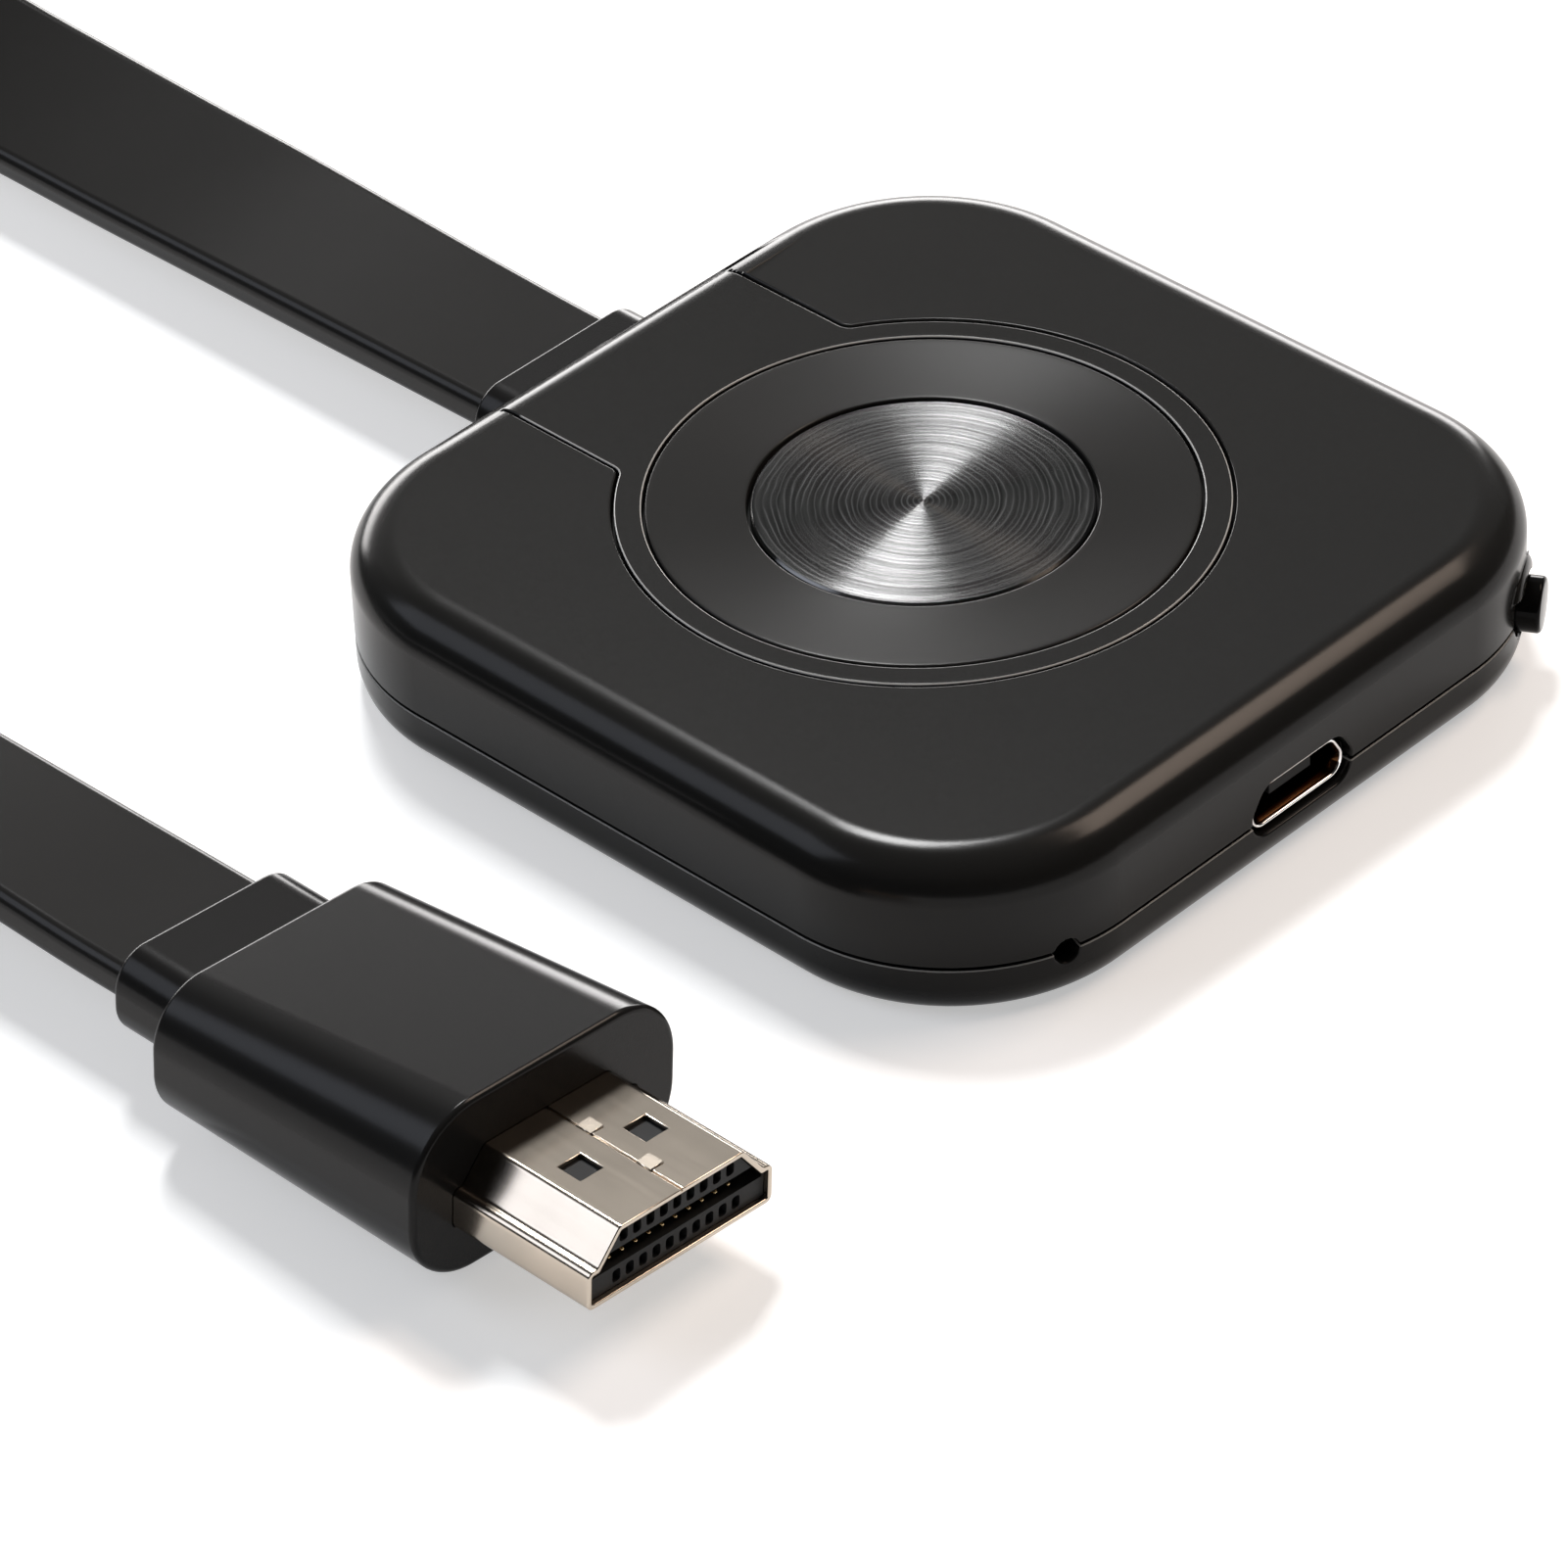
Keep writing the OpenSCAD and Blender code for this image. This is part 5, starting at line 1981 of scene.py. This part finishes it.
    def finger(self, name: str, bow: float) -> Piece:
        """Makes one contact finger that bows into the slot near its rounded tip.

        Args:
            name: Name of the object.
            bow: How far the tip stands off the finger's root, upwards.

        Returns:
            The finger, with its tip at the origin.
        """
        width, thickness = self.contact
        stations = [
            (0, 1, 0.3),
            (0.02, 1, 0.6),
            (0.06, 1, 0.85),
            (0.12, 1, 1),
            (0.4, 0.95, 1),
            (0.8, 0.7, 1),
            (1.2, 0.35, 1),
            (1.6, 0.1, 1),
            (2.0, 0, 1),
            (self.contact_length / MM, 0, 1),
        ]
        rings = []
        for y, share, size in stations:
            sides = box_outline(width * size, thickness * size)
            outline = rounded(sides, self.contact_corner * size, EDGE_STEPS)
            rings.append([Vector((a, y * MM, b + share * bow)) for a, b in outline])
        return loft(name, rings)

    def contacts(self) -> Piece:
        """Makes the gilt fingers by a node tree, on the floor and under the roof of the slot.

        Returns:
            The contacts, as one piece.
        """
        low, high = self.slot
        half = self.contact[1] / 2
        tree = GeometryTree("contact rows")
        tree.end(self.rows(tree))
        lower = self.finger("lower_finger", self.lower_bow)
        upper = self.finger("upper_finger", -self.contact_bow)
        y = self.mouth + self.recess + self.contact_set_back
        values = self.row_values(y, (low + half, high - half), (lower, upper))
        piece = tree.grow("plug_fingers", {**values, "Finish": GILT.material()})
        drop(lower)
        drop(upper)
        return self.finish(piece, GILT, "plug_contacts")

    def build(self) -> list[Piece]:
        """Makes the plug's pieces and gives them all."""
        return [*self.moulding(), self.shell(), self.insulator(), self.contacts()]


@dataclass
class Pinhole:
    """The light hole on the parting line."""

    housing: Housing
    angle: float = math.radians(-108)
    radius: float = 0.8 * MM
    steps: int = 48

    def opening(self) -> Piece:
        """Makes the solid that the covers lose at the light hole.

        Returns:
            The solid.
        """
        place = self.housing.spoke(-1, self.angle, self.housing.seam)
        start = self.housing.inner_radius - OVERSHOOT
        end = self.housing.corner_radius + OVERSHOOT
        profile = [(0, start), (self.radius, start), (self.radius, end), (0, end)]
        return revolve("light_hole", profile, place, self.steps)


@dataclass(frozen=True)
class Softbox:
    """A flat lamp, given by how it looks from the object."""

    name: str
    direction: Place
    long_side: Place
    half_angles: Point
    radiance: float
    colour: Colour = (1.0, 1.0, 1.0)
    shines: bool = True


@dataclass
class Studio:
    """A pale floor, soft lamps and the photograph's camera."""

    azimuth: float = math.radians(-44.806)
    elevation: float = math.radians(37.915)
    roll: float = math.radians(-2.5)
    distance: float = 458.838 * MM
    aside: Point = (-9.2326 * MM, -7.9624 * MM)
    lens: float = 178.95
    sensor: float = 36.0
    floor_size: float = 4.0
    floor_lift: float = 0.46
    floor_dark: Colour = (0.7, 0.7, 0.7)
    floor_light: Colour = (0.72, 0.72, 0.72)
    world_strength: float = 0.04
    lamp_distance: float = 1.2
    lamps: tuple[Softbox, ...] = (
        Softbox("key", (0.333, 0.439, 0.835), (-0.863, -0.215, 0.457), (0.125, 0.079), 54.0),
        Softbox("soft_top", (-0.1, 0.0, 1), (1, 0, 0), (0.6, 0.6), 0.15, shines=False),
        Softbox("cool_left", (-0.55, 0.56, 0.6), (0, 0, 1), (0.22, 0.3), 2.2, (0.83, 0.88, 1.0)),
        Softbox("warm_right", (0.556, -0.2, 0.807), (0, 1, 0), (0.26, 0.12), 9.0, (1.0, 0.8, 0.66)),
        Softbox("back_glow", (0.62, 0.58, 0.53), (1, -1, 0), (0.7, 0.3), 0.19),
        Softbox(
            "rear_strip", (0.57, 0.81, 0.1), (0.81, -0.57, 0), (0.55, 0.16), 9.0, (1.0, 0.98, 0.97)
        ),
    )

    def camera(self) -> None:
        """Makes the camera at the photograph's viewing angle."""
        a, e, roll = self.azimuth, self.elevation, self.roll
        back = Vector((math.sin(a) * math.cos(e), -math.cos(a) * math.cos(e), math.sin(e)))
        level = Vector((math.cos(a), math.sin(a), 0))
        upright = back.cross(level)
        right = math.cos(roll) * level + math.sin(roll) * upright
        up = math.cos(roll) * upright - math.sin(roll) * level
        place = self.aside[0] * right + self.aside[1] * up + self.distance * back
        data = bpy.data.cameras.new("photo_camera")
        data.lens = self.lens
        data.sensor_width = self.sensor
        data.sensor_fit = "HORIZONTAL"
        data.clip_start = 0.01
        data.clip_end = 20
        camera = bpy.data.objects.new("photo_camera", data)
        turn = Matrix((right, up, back)).transposed().to_4x4()
        camera.matrix_world = Matrix.Translation(place) @ turn
        bpy.context.scene.collection.objects.link(camera)
        bpy.context.scene.camera = camera

    def floor(self) -> None:
        """Makes the pale floor: paper that keeps its shadow, lifted to white where it is lit."""
        side = self.floor_size
        corners = [Vector((x, y, 0)) for x, y in box_outline(side, side)]
        floor = new_piece("studio_floor", corners, [[0, 1, 2, 3]])
        look = Shading("floor_paper")
        look.tint(look.noise(2.0), self.floor_dark, self.floor_light)
        rays = look.add("ShaderNodeLightPath").outputs
        seen = rays["Is Camera Ray"]
        for kind in ("Is Glossy Ray", "Is Transmission Ray"):
            seen = look.maths("MAXIMUM", seen, rays[kind])
        look.set(
            Specular_IOR_Level=0.0,
            Roughness=1.0,
            Emission_Color=(1, 1, 1, 1),
            Emission_Strength=look.maths("MULTIPLY", seen, self.floor_lift),
        )
        floor.data.materials.append(look.material)

    def lamp(self, lamp: Softbox) -> None:
        """Hangs an area lamp that faces the object.

        Args:
            lamp: The lamp, as it looks from the object.
        """
        away = Vector(lamp.direction).normalized()
        along = Vector(lamp.long_side)
        along = (along - along.dot(away) * away).normalized()
        size, size_y = (2 * self.lamp_distance * math.tan(angle) for angle in lamp.half_angles)
        data = bpy.data.lights.new(lamp.name, "AREA")
        data.shape = "RECTANGLE"
        data.size, data.size_y = size, size_y
        data.energy = 4 * size * size_y * lamp.radiance
        data.color = lamp.colour
        item = bpy.data.objects.new(lamp.name, data)
        turn = Matrix((along, away.cross(along), away)).transposed().to_4x4()
        item.matrix_world = Matrix.Translation(away * self.lamp_distance) @ turn
        item.visible_glossy = lamp.shines
        bpy.context.scene.collection.objects.link(item)

    def light(self) -> None:
        """Sets a dim world and hangs the lamps."""
        world = bpy.data.worlds.new("studio")
        world.use_nodes = True
        background = world.node_tree.nodes["Background"]
        background.inputs["Color"].default_value = (1, 1, 1, 1)
        background.inputs["Strength"].default_value = self.world_strength
        bpy.context.scene.world = world
        for lamp in self.lamps:
            self.lamp(lamp)

    def build(self) -> None:
        """Makes the whole studio."""
        self.camera()
        self.floor()
        self.light()


def dress_inner_nodes() -> None:
    """Gives each carried-over CAD node its finish."""
    finishes: dict[str, Finish] = {
        **NODE_FINISHES,
        "port_tongue": INSULATOR_PLASTIC,
        "port_contacts": GILT,
    }
    for name, finish in finishes.items():
        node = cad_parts[name]
        node.data.materials.clear()
        node.data.materials.append(finish.material())
        log.info("%s dressed as %s", name, finish.name)


def main() -> None:
    """Builds the studio, then the dongle's pieces."""
    logging.basicConfig(level=logging.INFO, format="%(name)s: %(message)s", stream=sys.stdout)
    bpy.context.scene.view_settings.view_transform = "Standard"
    Studio().build()
    housing = Housing()
    cable = CableRun(housing)
    plug = VideoPlug()
    ribbon, path = cable.ribbon()
    on_cable = [cable.gland(), *plug.build()]
    inlay = TopInlay(housing)
    button = ModeButton(housing)
    port = PowerPort(housing)
    openings = (port.opening, button.bore, Pinhole(housing).opening, cable.opening)
    top = housing.top_cover(inlay.pocket())
    carve(top, button.hood(), CutMode.ADD)
    bottom = housing.bottom_cover()
    for cover in (top, bottom):
        for opening in openings:
            carve(cover, opening())
        ease_edges(cover, housing.edge_width, EDGE_STEPS)
    housing.add_posts(top, bottom)
    covers = ((top, HOUSING_PLASTIC, "top_cover"), (bottom, BASE_PLASTIC, "bottom_cover"))
    for cover, finish, node in covers:
        smooth(cover)
        hand_over(cover, HOUSING_BODY, finish, node)
    inlay.build()
    button.build()
    port.build()
    dress_inner_nodes()


if __name__ == "__main__":
    main()
